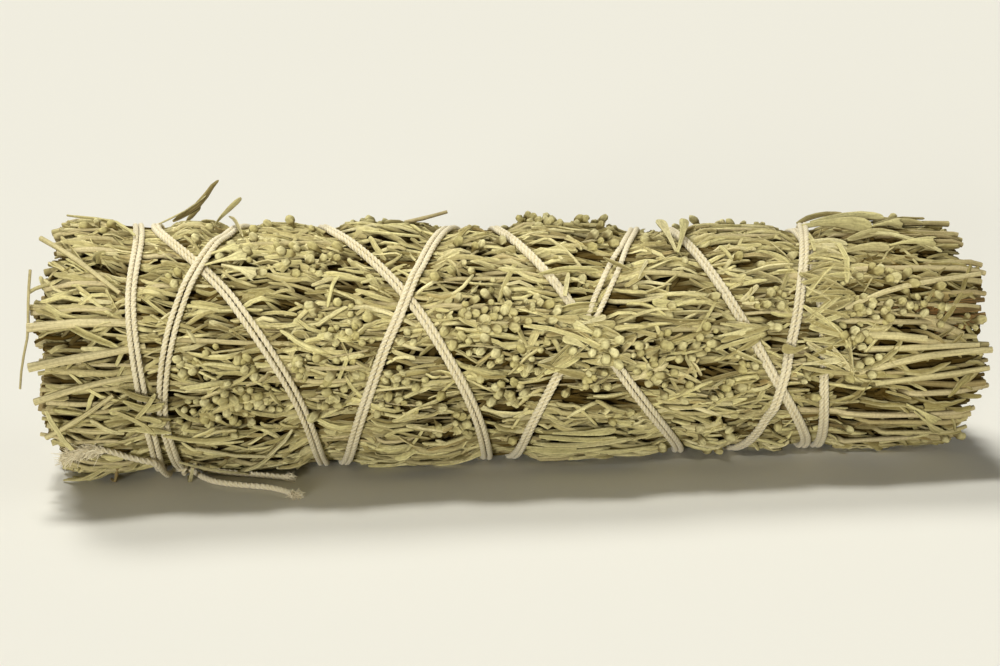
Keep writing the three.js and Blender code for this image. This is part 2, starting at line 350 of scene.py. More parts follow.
def fray(handful, rng, line, name, seed):
    """Loose fibres that fan out over the last part of a yarn, each a hair-thin three-sided thread."""
    heading, length, spread, count, over = FRAYS[name]
    heading = np.array(heading, float) / np.linalg.norm(heading)
    for _ in range(count):
        aim = unit(heading + rng.normal(0, spread, 3))
        bend = rng.normal(0, spread * 0.9, 3)
        own = length * MM * rng.uniform(0.45, 1.1)
        t = np.linspace(0, 1, FIBRE_RINGS)[:, None]
        start = line[-1 - int(over * rng.random())] + rng.normal(0, 0.42 * MM, 3)
        thread = start + own * (aim * t + bend * t ** 2)
        thread[:, 2] = np.maximum(thread[:, 2], 0.15 * MM)
        along = unit(np.gradient(thread, axis=0))
        first = unit(np.cross(along, rng.normal(0, 1, 3)))
        second = np.cross(along, first)
        radius = rng.uniform(0.06, 0.14) * MM * (1 - 0.5 * t)
        rings = [thread + radius * (first * math.cos(a) + second * math.sin(a))
                 for a in (0, 2 * math.pi / 3, 4 * math.pi / 3)]
        corners, sizes = rings_faces(FIBRE_RINGS, FIBRE_SIDES)
        points = np.stack(rings, axis=1).reshape(-1, 3)
        grain = np.zeros(points.shape)
        grain[:, 2] = seed + rng.uniform(0, 1)
        handful.add(points, corners, sizes, grain, np.zeros(points.shape))


def build_tails():
    """The three cut ends, each with its loose fibres. Returns the lines they follow."""
    lines = []
    rng = np.random.default_rng(5)
    for seed, (name, points) in enumerate(TAILS.items()):
        line = through(np.array(points) * MM, YARN_STEP)
        lines.append(line)
        over = FRAYS[name][-1]
        thinned = smooth((np.arange(len(line)) - len(line) + over) / over)
        cord = Handful()
        spin_yarn(cord, line, TAIL_RADIUS * (1 - 0.45 * thinned), seed)
        piece = cord.make(name + "_yarn", [cotton])
        loose = Handful()
        fray(loose, rng, line, name, seed)
        tuft = loose.make(name + "_fray", [cotton])
        for made in (piece, tuft):
            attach(made, "root")
        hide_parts(name)
    return lines


tail_lines = build_tails()

# ---------------------------------------------------------------- Wound twine
# Both strands leave the knot, wind to the narrow end and come back over themselves. They lie side by side,
# sunk among the leaves, and are lifted where a later turn crosses an earlier one.
LENGTH = cad_high.x - cad_low.x
WIDE_RADIUS = 29.4 * MM
NARROW_RADIUS = 25.9 * MM
SETTLE = 1.0 * MM  # how far the stick's weight has pressed its underside flat
TWINE_SINK = 1.0 * MM
TWINE_LOWEST = 0.95 * MM
CROSSING_LIFT = 1.5 * MM
CROSSING_FLAT = 0.4
STRAND_APART = 0.6 * MM
LOOSE_AT = 2567  # degrees wound where the strands have slipped apart
LOOSE_REACH = 20
LOOSE_APART = 0.5 * MM
# The pair's middle line as (angle wound so far, millimetres along the stick)
WINDING = [
    (-192, -78.9), (-180, -79.6), (-150, -80), (-110, -82.5), (-70, -87.4), (-30, -88.6), (17, -87.4),
    (57, -88.8), (99, -86.9), (131, -85), (180, -84.4), (250, -84.7), (290, -83.7), (330, -83.4),
    (369, -82.6), (417, -66), (463, -53.2), (509, -48), (540, -47.4), (630, -46.4), (690, -45.8),
    (722, -44.5), (787, -24.3), (830, -14), (872, -9.8), (900, -9.6), (990, -7.8), (1050, -6.2),
    (1085, -4.8), (1138, 8.4), (1167, 17.7), (1221, 33.6), (1260, 36.4), (1350, 36.4), (1410, 35.6),
    (1443, 35.8), (1470, 39.4), (1496, 44.6), (1521, 50.6), (1578, 64.2), (1620, 66), (1710, 65.6),
    (1800, 65.4), (1860, 65.7), (1900, 66.2), (1941, 68.5), (1980, 69.8), (2070, 69.8), (2130, 69),
    (2170, 65.6), (2219, 60.6), (2244, 57.6), (2302, 51.4), (2340, 47), (2430, 36.4), (2500, 28),
    (2529, 24.6), (2586, 12.1), (2609, 5.4), (2640, -0.6), (2675, -3.2), (2700, -4), (2730, -4.8),
    (2790, -7.8), (2850, -13.6), (2880, -18.2), (2936, -29), (2962, -34.6), (3000, -40.2),
    (3042, -42.6), (3060, -43.2), (3088, -44.6), (3150, -54), (3210, -62), (3252, -68), (3301, -79),
    (3341, -82.8), (3375, -81.2), (3394, -79.9),
]
# Where a later turn lies on an earlier one: (angle wound so far, how far to either side it is lifted)
CROSSINGS = [
    (265, 46), (2171, 40), (2262, 20), (2430, 40), (2588, 18), (2790, 44), (2933, 18), (3104, 26),
    (3276, 26),
]


def stick_radius(x):
    """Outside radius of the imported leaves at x."""
    return WIDE_RADIUS + (NARROW_RADIUS - WIDE_RADIUS) * (x / LENGTH + 0.5)


def on_stick(x, depth, degrees, lowest):
    """Points a depth inside the leaves' outside, at an angle from the top over the front."""
    radius = stick_radius(x)
    angle = np.radians(degrees)
    height = radius - SETTLE + (radius - depth) * np.cos(angle)
    return np.stack([x, -(radius - depth) * np.sin(angle), np.maximum(height, lowest)], axis=-1)


def outwards(degrees):
    """The way straight out of the stick at an angle from the top over the front."""
    angle = np.radians(degrees)
    return np.stack([0 * angle, -np.sin(angle), np.cos(angle)], axis=-1)


def wound_x(wound):
    """Where the pair has got to along the stick: a smooth curve through WINDING."""
    angles, places = np.array(WINDING).T
    slopes = np.gradient(places, angles)
    slopes[1:-1] = (places[2:] - places[:-2]) / (angles[2:] - angles[:-2])
    i = np.clip(np.searchsorted(angles, wound) - 1, 0, len(angles) - 2)
    span = angles[i + 1] - angles[i]
    t = (wound - angles[i]) / span
    a = 2 * t ** 3 - 3 * t ** 2
    return MM * ((a + 1) * places[i] + (t ** 3 - 2 * t ** 2 + t) * slopes[i] * span
                 - a * places[i + 1] + (t ** 3 - t ** 2) * slopes[i + 1] * span)


def wound_depth(wound):
    """How deep the pair lies among the leaves, lifted where it crosses an earlier turn."""
    lift = np.zeros_like(wound)
    for at, reach in CROSSINGS:
        near = 1 - np.minimum(np.abs(wound - at) / reach, 1)
        lift = np.maximum(lift, smooth(near / (1 - CROSSING_FLAT)))
    return TWINE_SINK - CROSSING_LIFT * lift


def build_strands():
    """Both strands, one piece each. Returns the lines that they follow."""
    lines = []
    wound = np.arange(WINDING[0][0], WINDING[-1][0], 0.25)
    middle = on_stick(wound_x(wound), wound_depth(wound), wound, TWINE_LOWEST)
    out = outwards(wound)
    across = unit(np.cross(out, np.gradient(middle, axis=0)))
    for strand, side in ((1, 1), (2, -1)):
        wander = (0.05 * np.sin(wound / 17 + strand) + 0.05 * np.sin(wound / 41 + 2 * strand)) * MM
        slipped = LOOSE_APART * smooth(1.4 - np.abs(wound - LOOSE_AT) / LOOSE_REACH)
        apart = STRAND_APART + 0.09 * MM * np.sin(wound / 63) + wander + slipped
        rise = 0.06 * MM * np.sin(wound / 29 + 3 * strand)
        line = middle + across * (side * apart)[:, None] + out * rise[:, None]
        line[:, 2] = np.maximum(line[:, 2], TWINE_LOWEST)
        line = evenly(line, YARN_STEP)
        lines.append(line)
        name = f"twine_strand_{strand}"
        yarn = Handful()
        spin_yarn(yarn, line, TWINE_RADIUS, 3 + strand)
        piece = yarn.make(name + "_yarn", [cotton])
        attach(piece, "root")
        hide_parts(name)
    return lines


twine_lines = build_strands()

# ---------------------------------------------------------------- Knot
# A tight overhand knot of the doubled twine under the stick's wide end, where all four ends meet.
KNOT_AT = np.array((-79.5, -9.6, 2.3)) * MM
KNOT_SIZE = np.array((0.86, 0.72, 0.50)) * MM


def build_knot():
    knot = Handful()
    t = np.linspace(0, 2 * math.pi, 200)
    for seed, (turn, size) in enumerate(((0.0, 1.0), (0.5, 0.8))):
        reach = 2 + np.cos(3 * t)
        line = np.stack([reach * np.cos(2 * t + turn), reach * np.sin(2 * t + turn),
                         1.6 * np.sin(3 * t)], axis=1)
        line = KNOT_AT + size * KNOT_SIZE * line
        line[:, 2] = np.maximum(line[:, 2], TWINE_LOWEST)
        spin_yarn(knot, evenly(line, YARN_STEP), TWINE_RADIUS, 8 + seed)
    piece = knot.make("twine_knot_yarn", [cotton])
    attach(piece, "root")
    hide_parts("twine_knot")


build_knot()

# ---------------------------------------------------------------- Leaf shapes
# Desert sage has narrow grey-green leaves, most of them rolled or folded lengthwise as they dried, and a
# few short wedges with a three-toothed tip. Each shape is drawn out ring by ring from its foot, one unit
# long and one wide, and is later bent along the place where each copy lies.
LEAF_OUTLINES = {  # sides of the section, then (share of the length, width, thickness) at each ring
    "rod": (6, [(0, .6, .6), (.12, .95, .9), (.35, 1, 1), (.62, 1, 1), (.86, .92, .88), (.97, .75, .7),
                (1, .35, .4)]),
    "blade": (6, [(0, .35, .6), (.12, .65, .8), (.3, .92, 1), (.5, 1, 1), (.7, .9, .9), (.87, .68, .8),
                  (.97, .4, .6), (1, .12, .2)]),
    "spoon": (6, [(0, .28, .7), (.25, .42, .8), (.5, .65, .9), (.72, .95, 1), (.88, 1, 1), (.97, .72, .7),
                  (1, .35, .3)]),
    "cut": (6, [(0, .6, .6), (.2, .95, .95), (.65, 1, 1), (1, .9, .9)]),
    "wedge": (8, [(0, .14, .9), (.3, .2, 1), (.58, .42, .8), (.8, .82, .6), (.93, 1, .4), (1, .94, .12)]),
    "under": (4, [(0, .5, .6), (.3, 1, 1), (.7, 1, 1), (1, .2, .3)]),
    "under_cut": (4, [(0, .7, .7), (.5, 1, 1), (1, 1, 1)]),
}
LEAF_FOLDS = {"rod": 0.42, "blade": 0.75, "spoon": 0.5, "cut": 0.42, "wedge": 0.14}  # depth of the groove
TOOTH = 0.1  # how far back the notches lie between the teeth of a wedge


class Shape:
    """A modelled shape as arrays: its points, each point's ring, and its faces."""

    def __init__(self, modelled, stations):
        mesh = modelled.data
        points = np.array([v.co for v in mesh.vertices])
        self.stations = np.array(stations, float)
        self.ring = np.abs(points[:, :1] - self.stations).argmin(axis=1)
        self.ahead = points[:, 0] - self.stations[self.ring]
        self.side, self.height = points[:, 1], points[:, 2]
        widest = np.zeros(len(stations))
        np.maximum.at(widest, self.ring, np.abs(self.side))
        self.across = self.side / np.maximum(widest[self.ring], 1e-6)
        self.corners = np.array([i for face in mesh.polygons for i in face.vertices])
        self.sizes = np.array([len(face.vertices) for face in mesh.polygons])
        middles = np.array([face.center.x for face in mesh.polygons])
        caps = np.abs(np.array([face.normal.x for face in mesh.polygons])) > 0.95
        self.caps = caps & ((middles < 1e-4) | (middles > stations[-1] - 1e-4))
        bpy.data.objects.remove(modelled)


def drawn_out(sides, rings):
    """A closed section drawn out along X, widened and narrowed at each ring. It is left in edit mode."""
    bpy.ops.object.select_all(action="DESELECT")
    bpy.ops.mesh.primitive_circle_add(
        vertices=sides, radius=0.5, fill_type="NGON", rotation=(0, math.pi / 2, 0)
    )
    bpy.ops.object.transform_apply(rotation=True)
    bpy.ops.object.mode_set(mode="EDIT")
    bpy.ops.mesh.select_all(action="SELECT")
    if sides == 6:  # a corner at the top and at the bottom, where a leaf folds
        bpy.ops.transform.rotate(value=math.radians(30), orient_axis="X", center_override=(0, 0, 0))
    station, width, thickness = rings[0]
    bpy.ops.transform.resize(value=(1, width, thickness))
    for next_station, next_width, next_thickness in rings[1:]:
        bpy.ops.mesh.extrude_region_move(
            TRANSFORM_OT_translate={"value": (next_station - station, 0, 0)}
        )
        bpy.ops.transform.resize(
            value=(1, next_width / width, next_thickness / thickness),
            center_override=(next_station, 0, 0),
        )
        station, width, thickness = next_station, next_width, next_thickness
    bpy.ops.mesh.select_all(action="SELECT")
    bpy.ops.mesh.normals_make_consistent(inside=False)
    return bpy.context.object


def select_points(modelled, chosen):
    """Selects only the points that chosen(place) picks, and stays in edit mode."""
    bpy.ops.mesh.select_all(action="DESELECT")
    bpy.ops.object.mode_set(mode="OBJECT")
    for vertex in modelled.data.vertices:
        vertex.select = chosen(vertex.co)
    bpy.ops.object.mode_set(mode="EDIT")


def leaf_shape(name):
    """One kind of leaf: folded in along its top, some with a rib below, the wedge with its teeth."""
    sides, rings = LEAF_OUTLINES[name]
    bpy.context.tool_settings.mesh_select_mode = (True, False, False)
    modelled = drawn_out(sides, rings)
    if name in LEAF_FOLDS:
        select_points(modelled, lambda co: abs(co.y) < 0.02 and co.z > 0 and 0.08 < co.x < 0.97)
        bpy.ops.transform.translate(value=(0, 0, -LEAF_FOLDS[name]))
    if name in ("blade", "wedge"):
        select_points(modelled, lambda co: abs(co.y) < 0.02 and co.z < -0.05 and 0.1 < co.x < 0.96)
        bpy.ops.transform.translate(value=(0, 0, -LEAF_FOLDS[name] * 0.6))
    if name == "wedge":
        select_points(modelled, lambda co: co.x > 0.97 and 0.1 < abs(co.y) < 0.4)
        bpy.ops.transform.translate(value=(-TOOTH, 0, 0))
    bpy.ops.object.mode_set(mode="OBJECT")
    return Shape(modelled, [station for station, _, _ in rings])


leaf_shapes = {name: leaf_shape(name) for name in LEAF_OUTLINES}

UNDER_SHADE = 0.55  # painted shade on the side of each piece that faces into the stick
UNDER_REACH = 0.7 * MM


def lay_along(handful, shape, routes, out, width, thickness, roll, tint, seed, finish, cap=None,
              shade=None, under=UNDER_SHADE):
    """Copies of a shape bent along their routes (copies, rings, 3), with out the way up at each ring."""
    along = np.gradient(routes, axis=1)
    run = np.linalg.norm(np.diff(routes, axis=1), axis=2).sum(axis=1)
    along = unit(along)
    across = unit(np.cross(out, along))
    up = np.cross(along, across)
    turn, lean = np.cos(roll)[..., None], np.sin(roll)[..., None]
    across, up = across * turn + up * lean, up * turn - across * lean
    ring = shape.ring
    section = (across[:, ring] * (shape.side * width[:, None])[..., None]
               + up[:, ring] * (shape.height * thickness[:, None])[..., None])
    points = routes[:, ring] + along[:, ring] * (shape.ahead * run[:, None])[..., None] + section
    points[..., 2] = np.maximum(points[..., 2], 0)
    above = (section * out[:, ring]).sum(axis=-1)
    copies, count = points.shape[:2]
    grain = np.empty((copies, count, 3))
    grain[..., 0] = (shape.stations[ring] + shape.ahead) * run[:, None] / MM
    grain[..., 1] = shape.across
    grain[..., 2] = seed[:, None]
    tint = np.repeat(tint[:, None], count, axis=1)
    if shade is not None:
        tint[..., 2] = shade[:, ring]
    # painted shade: the side of each piece that faces into the stick is darkened
    tint[..., 2] = np.maximum(tint[..., 2], under * smooth(0.5 - above / UNDER_REACH))
    first = np.arange(copies)[:, None] * count
    finishes = np.where(shape.caps, finish if cap is None else cap, finish)
    handful.add(points.reshape(-1, 3), (shape.corners + first).ravel(), np.tile(shape.sizes, copies),
                grain.reshape(-1, 3), tint.reshape(-1, 3), np.tile(finishes, copies))


# ---------------------------------------------------------------- Sage finishes
# Dried leaves under a fine grey down: grey-green to straw, a few gone brown, with painted shade that
# makes them darker and browner deep between the others. Buds are yellow-green, stalks browner and
# streaked with bark. The parts of a point's tint are its tone, its age and its painted shade.
LEAF_DULL = "#a89c62"
LEAF_GREY = "#d2c68b"
LEAF_GREEN = "#eae09c"
LEAF_STRAW = "#f4e9b2"
LEAF_BROWN = "#9c7c46"
BUD_PALE = "#eae1a8"
BUD_GREEN = "#cabf7e"
STALK_PALE = "#e6d7a5"
STALK_BROWN = "#93794c"
CUT_PALE = "#d8c698"
CUT_BROWN = "#94744a"
OLD_WOOD_DARK = "#4a3322"
OLD_WOOD_GOLD = "#a8763c"
# the brown of the painted shade deep between the leaves, also used for dark mottling and streaks
DEEP_SHADE = "#4a3606"


def ramp(tree, value, *stops):
    """A colour that runs through the stops as the value goes from 0 to 1."""
    made = node(tree, "ValToRGB", ("Fac", value))
    elements = made.color_ramp.elements
    while len(elements) < len(stops):
        elements.new(0.5)
    for element, (position, colour) in zip(elements, stops):
        element.position = position
        element.color = linear(colour)
    return made.outputs["Color"]


def finish_sage(tree, surface, colour, shade, streak, bump_depth, strength, lines=0.38):
    """The last steps that leaves, buds and stalks share: fine mottling, painted shade by depth, and bump.
    """
    spots = noise(tree, 1600.0, 3.0)
    patches = noise(tree, 90.0, 2.0)
    colour = mixed(tree, ranged(tree, spots, 0.45, 0.7, 0.0, 0.24), colour, linear(DEEP_SHADE))
    colour = mixed(tree, ranged(tree, patches, 0.35, 0.65, 0.0, 0.25), colour, linear(LEAF_GREY))
    colour = mixed(tree, ranged(tree, streak, 0.35, 0.6, lines, 0.0), colour, linear(DEEP_SHADE))
    # painted shade: darker and browner deep between the leaves and on their inner sides
    colour = mixed(tree, shade, colour, linear(DEEP_SHADE))
    tree.links.new(colour, surface.inputs["Base Color"])
    height = node(tree, "Math", (0, streak), (1, spots), operation="ADD").outputs[0]
    bump = node(tree, "Bump", ("Height", height), ("Strength", strength), ("Distance", bump_depth))
    tree.links.new(bump.outputs["Normal"], surface.inputs["Normal"])


def build_leaf():
    """Grey down over green to straw, with a painted highlight along both edges."""
    material, tree, surface = new_material("sage_leaf", 0.88)
    grain, tone, age, shade = carried(tree)
    streak = streaks(tree, grain, 0.3, 3.4)
    colour = ramp(tree, tone, (0.0, LEAF_DULL), (0.35, LEAF_GREY), (0.65, LEAF_GREEN), (1.0, LEAF_STRAW))
    colour = mixed(tree, age, colour, linear(LEAF_BROWN))
    across = node(tree, "SeparateXYZ", ("Vector", grain)).outputs["Y"]
    painted_edge_highlight = node(tree, "Math", (0, across), operation="ABSOLUTE").outputs[0]
    # painted highlight: paler along both edges
    colour = mixed(tree, ranged(tree, painted_edge_highlight, 0.6, 1.0, 0.0, 0.3), colour, linear(LEAF_STRAW))
    finish_sage(tree, surface, colour, shade, streak, 0.12 * MM, 0.7)
    return material


def build_bud():
    """Yellow-green scales, with painted shade in the creases between them."""
    material, tree, surface = new_material("sage_bud", 0.9)
    grain, tone, age, shade = carried(tree)
    streak = streaks(tree, grain, 0.6, 2.0)
    colour = mixed(tree, tone, linear(BUD_GREEN), linear(BUD_PALE))
    colour = mixed(tree, age, colour, linear(LEAF_BROWN))
    crease = node(tree, "SeparateXYZ", ("Vector", grain)).outputs["Y"]
    # painted shade in the creases between the scales
    colour = mixed(tree, ranged(tree, crease, 0.0, -1.0, 0.0, 0.3), colour, linear(DEEP_SHADE))
    finish_sage(tree, surface, colour, shade, streak, 0.12 * MM, 0.4, 0.15)
    return material


def build_stalk():
    """Young bark, pale to brown, streaked along the stalk."""
    material, tree, surface = new_material("sage_stalk", 0.85)
    grain, tone, age, shade = carried(tree)
    streak = streaks(tree, grain, 0.12, 4.0)
    colour = mixed(tree, tone, linear(STALK_PALE), linear(LEAF_GREY))
    colour = mixed(tree, age, colour, linear(STALK_BROWN))
    finish_sage(tree, surface, colour, shade, streak, 0.15 * MM, 0.8)
    return material


def build_cut():
    """Cut ends: pale pith and wood, weathered brown in patches."""
    material, tree, surface = new_material("sage_cut", 0.8)
    shade = carried(tree)[-1]
    rings = noise(tree, 1100.0, 4.0)
    colour = mixed(tree, ranged(tree, rings, 0.35, 0.65), linear(CUT_PALE), linear(CUT_BROWN))
    finish_sage(tree, surface, colour, shade, rings, 0.1 * MM, 0.6)
    return material


def build_old_wood():
    """Old sage wood: dark grey-brown bark that has split off in places over orange-brown wood."""
    material, tree, surface = new_material("sage_old_wood", 0.8)
    grain, tone, _, shade = carried(tree)
    streak = streaks(tree, grain, 0.1, 5.0)
    split = ranged(tree, streak, 0.48, 0.58)
    colour = mixed(tree, split, linear(OLD_WOOD_DARK), linear(OLD_WOOD_GOLD))
    colour = mixed(tree, tone, colour, linear(STALK_BROWN))
    finish_sage(tree, surface, colour, shade, streak, 0.3 * MM, 1.0)
    return material


SAGE = [build_leaf(), build_bud(), build_stalk(), build_cut(), build_old_wood()]
LEAF, BUD, STALK, CUT, OLD_WOOD = range(5)

# ---------------------------------------------------------------- Sprigs round the outside
# Eighteen sprigs lie side by side round the stick. Each is a few woody stalks with leaves growing from
# them all along, pressed flat by the twine, and thin side stalks of round buds near the surface.
X_CELL = 0.5 * MM
SPARE_CELLS = 81  # past both ends
PRESS_REACH = 2.6 * MM  # how far to the side of the twine the leaves are bent down
PRESS_CELLS = 9
PRESS_CLEARANCE = 0.55 * MM


def press_map():
    """For each half millimetre along and each degree round, how deep the twine keeps the leaves."""
    room = np.zeros((round(LENGTH / X_CELL) + SPARE_CELLS, 360))
    lines = np.concatenate(twine_lines + tail_lines)
    height = lines[:, 2] - (stick_radius(lines[:, 0]) - SETTLE)
    reach = np.hypot(lines[:, 1], height)
    degrees = np.degrees(np.arctan2(-lines[:, 1], height))
    need = stick_radius(lines[:, 0]) - reach + TWINE_RADIUS + PRESS_CLEARANCE
    cell = lines[:, 0] / X_CELL + room.shape[0] / 2
    for dx in range(-PRESS_CELLS, PRESS_CELLS + 1):
        for turn in range(-PRESS_CELLS, PRESS_CELLS + 1):
            column = np.rint(cell).astype(int) + dx
            row = np.rint(degrees).astype(int) + turn
            apart = np.hypot((column - cell) * X_CELL, np.radians(row - degrees) * reach)
            held = need * (1 - smooth((apart - TWINE_RADIUS) / PRESS_REACH))
            inside = (column >= 0) & (column < room.shape[0])
            np.maximum.at(room, (column[inside], row[inside] % 360), held[inside])
    return room


pressed = press_map()


def pressed_depth(x, degrees, reach=1.2 * MM):
    """How deep the twine keeps what lies within reach of a place."""
    row = np.rint(degrees).astype(int) % 360
    depths = []
    for side in (-1, 0, 1):
        column = np.rint((x + side * reach) / X_CELL + pressed.shape[0] / 2).astype(int)
        depths.append(pressed[np.clip(column, 0, pressed.shape[0] - 1), row])
    return np.max(depths, axis=0)


def outline_depth(x, degrees):
    """How far the leaves' outside lies inside the plain taper: waists at the bands, lumps, rounded ends."""
    waist = 0.5 * MM * (np.exp(-((x / MM + 86) / 6) ** 2) + np.exp(-((x / MM - 67) / 6) ** 2))
    ends = 3.5 * MM * smooth((np.abs(x) / MM - 96) / 16)
    turn = np.radians(degrees)
    swell = (1.0 + 1.4 * np.cos(turn)) * MM * np.exp(-((x / MM - 82) / 11) ** 2)
    swell = swell + 0.8 * MM * np.clip(np.cos(turn), 0, 1) ** 2  # nothing presses on the top
    lumps = 0.35 * MM * (np.sin(9 * turn + x / (23 * MM)) + np.sin(14 * turn - x / (17 * MM) + 2)
                         + np.sin(5 * turn - x / (11 * MM) + 4))
    return waist - swell + ends + lumps


LOWEST_LEAF = 0.35 * MM
SMALL_HOLLOWS = 125
NARROW_END_HOLLOWS = 60
# Gaps between the leaves, all lengths in millimetres: middle along, middle round in degrees, half the
# length, half the width in degrees, depth. The first is the hollow of broken wood at the narrow end.
LARGE_HOLLOWS = [
    (92, 67, 11, 9, 3.6), (-101, 73, 6, 2.5, 4.0), (80, 84, 4, 3, 3), (-50, 20, 7, 3, 4),
    (46, 88, 5, 3, 3.5), (92, 98, 12, 2.0, 3), (97, 88, 8, 1.6, 3.5), (90, 109, 9, 2.2, 3),
    (96, 121, 7, 2.5, 3.5), (-67, 148, 9, 10, 1.3),
]


def plan_hollows():
    """The large gaps, then small ones all over, then longer ones at the narrow end."""
    rng = np.random.default_rng(17)
    spread = np.stack([rng.uniform(low, high, SMALL_HOLLOWS) for low, high in
                       ((-104, 104), (0, 360), (2.5, 6.5), (1.3, 2.6), (1.8, 3.4))], axis=1)
    narrow_end = np.stack([rng.uniform(low, high, NARROW_END_HOLLOWS) for low, high in
                           ((66, 104), (-60, 160), (4, 11), (1.2, 2.7), (2.5, 4.5))], axis=1)
    return np.concatenate([LARGE_HOLLOWS, spread, narrow_end])


hollows = plan_hollows()


def turned_from(degrees, other):
    """How far round an angle is from another, between -180 and 180 degrees."""
    return (degrees - other + 180) % 360 - 180


def hollow_depth(x, degrees):
    """How much deeper a leaf lies where its middle is in a gap."""
    deep = 0 * x
    for along, turn, half_length, half_width, depth in hollows:
        away = np.hypot((x / MM - along) / half_length, turned_from(degrees, turn) / half_width)
        deep = np.maximum(deep, depth * MM * smooth((1.25 - away) / 0.5))
    return deep


def depth_shade(depth, x):
    """Painted shade: how much darker and browner what lies at a depth is painted. The cut ends, open to the
    light, get less of it.
    """
    opened = smooth((depth / MM - 3.5) / 3) * smooth((np.abs(x) / MM - 99) / 5)
    return 0.95 * smooth((depth / MM - 0.5) / 2.4) * (1 - 0.85 * opened)


def follow(stations, *values):
    """Routes of leaves that start at a depth on a stalk and come up towards the outside.

    Each of the values is an array with one number for each leaf.
    """
    t = stations[None, :]
    x, degrees, depth, way, length, drift, end_depth, hook, curl, bow = (
        np.reshape(value, (-1, 1)) for value in values
    )
    forward = length * np.sqrt(1 - np.minimum((drift / length) ** 2, 0.9))
    xs = x + way * forward * t
    side = drift * t ** 1.3 + hook * smooth((t - 0.55) / 0.45) + bow * np.sin(math.pi * t)
    turned = degrees + np.degrees(side / stick_radius(xs))
    deep = depth + (end_depth - depth) * smooth(t / 0.5) - curl * smooth((t - 0.5) / 0.5)
    middle = len(stations) // 2
    deep = deep + hollow_depth(xs[:, middle], turned[:, middle])[:, None]
    # painted shade from how deep each point lies, deeper in the gaps between leaves
    shade = depth_shade(deep, xs)
    held = pressed_depth(xs, turned)
    beside = 0.5 * (held[:, :-2] + held[:, 2:])
    held[:, 1:-1] = np.maximum(held[:, 1:-1], beside)  # a leaf bends little
    deep = np.maximum(deep + outline_depth(xs, turned), held)
    return on_stick(xs, deep, turned, LOWEST_LEAF), outwards(turned), shade


# How each kind of leaf is made: share of the leaves, then width, thickness and length in millimetres
LEAF_KINDS = {
    "rod": (0.54, (0.75, 1.35), (0.75, 1.15), (7, 19)),
    "blade": (0.27, (1.1, 2.1), (0.55, 0.9), (8, 18)),
    "spoon": (0.15, (1.2, 2.3), (0.55, 0.9), (6, 13)),
    "wedge": (0.04, (2.6, 4.0), (0.5, 0.7), (8, 12)),
    "under": (0.0, (1.2, 2.2), (0.8, 1.3), (10, 20)),
}
LONG_SHARE = 0.12  # leaves that are longer than their kind
LONGER = 1.6  # by so many times
SLANT = 10  # degrees that a leaf lies across the stick, as a spread
STEEP_SHARE = 0.28  # leaves that lie well across the stick
STEEP_SLANT = 32
MOST_SLANT = 1.1  # radians
LIFTED_SHARE = 0.22  # leaves whose tips stand out of the stick
HOOK = 0.09  # how far tips bend sideways, as a share of the length
BOW = 0.08  # and how far middles do
ROLL = 0.75  # radians that a leaf is turned about its length
TWIST = 0.6  # and how much further at its tip
MOST_RINGS = 9  # that a leaf's shape may have
MIDDLE_REACH = 35 * MM  # how far from the middle of the stick sprigs lie both ways
LEAST_ROOM = 3 * MM  # leaves with less room than this before the cut end are left out
END_SCATTER = 1.1 * MM
OUTER_SHORT = 1.0 * MM  # how much earlier the outermost leaves stop
BLUNT_SHARE = 0.45  # leaves at the ends that were cut through; the others keep their tips
BROWN_SHARE = 0.06  # leaves that have gone brown


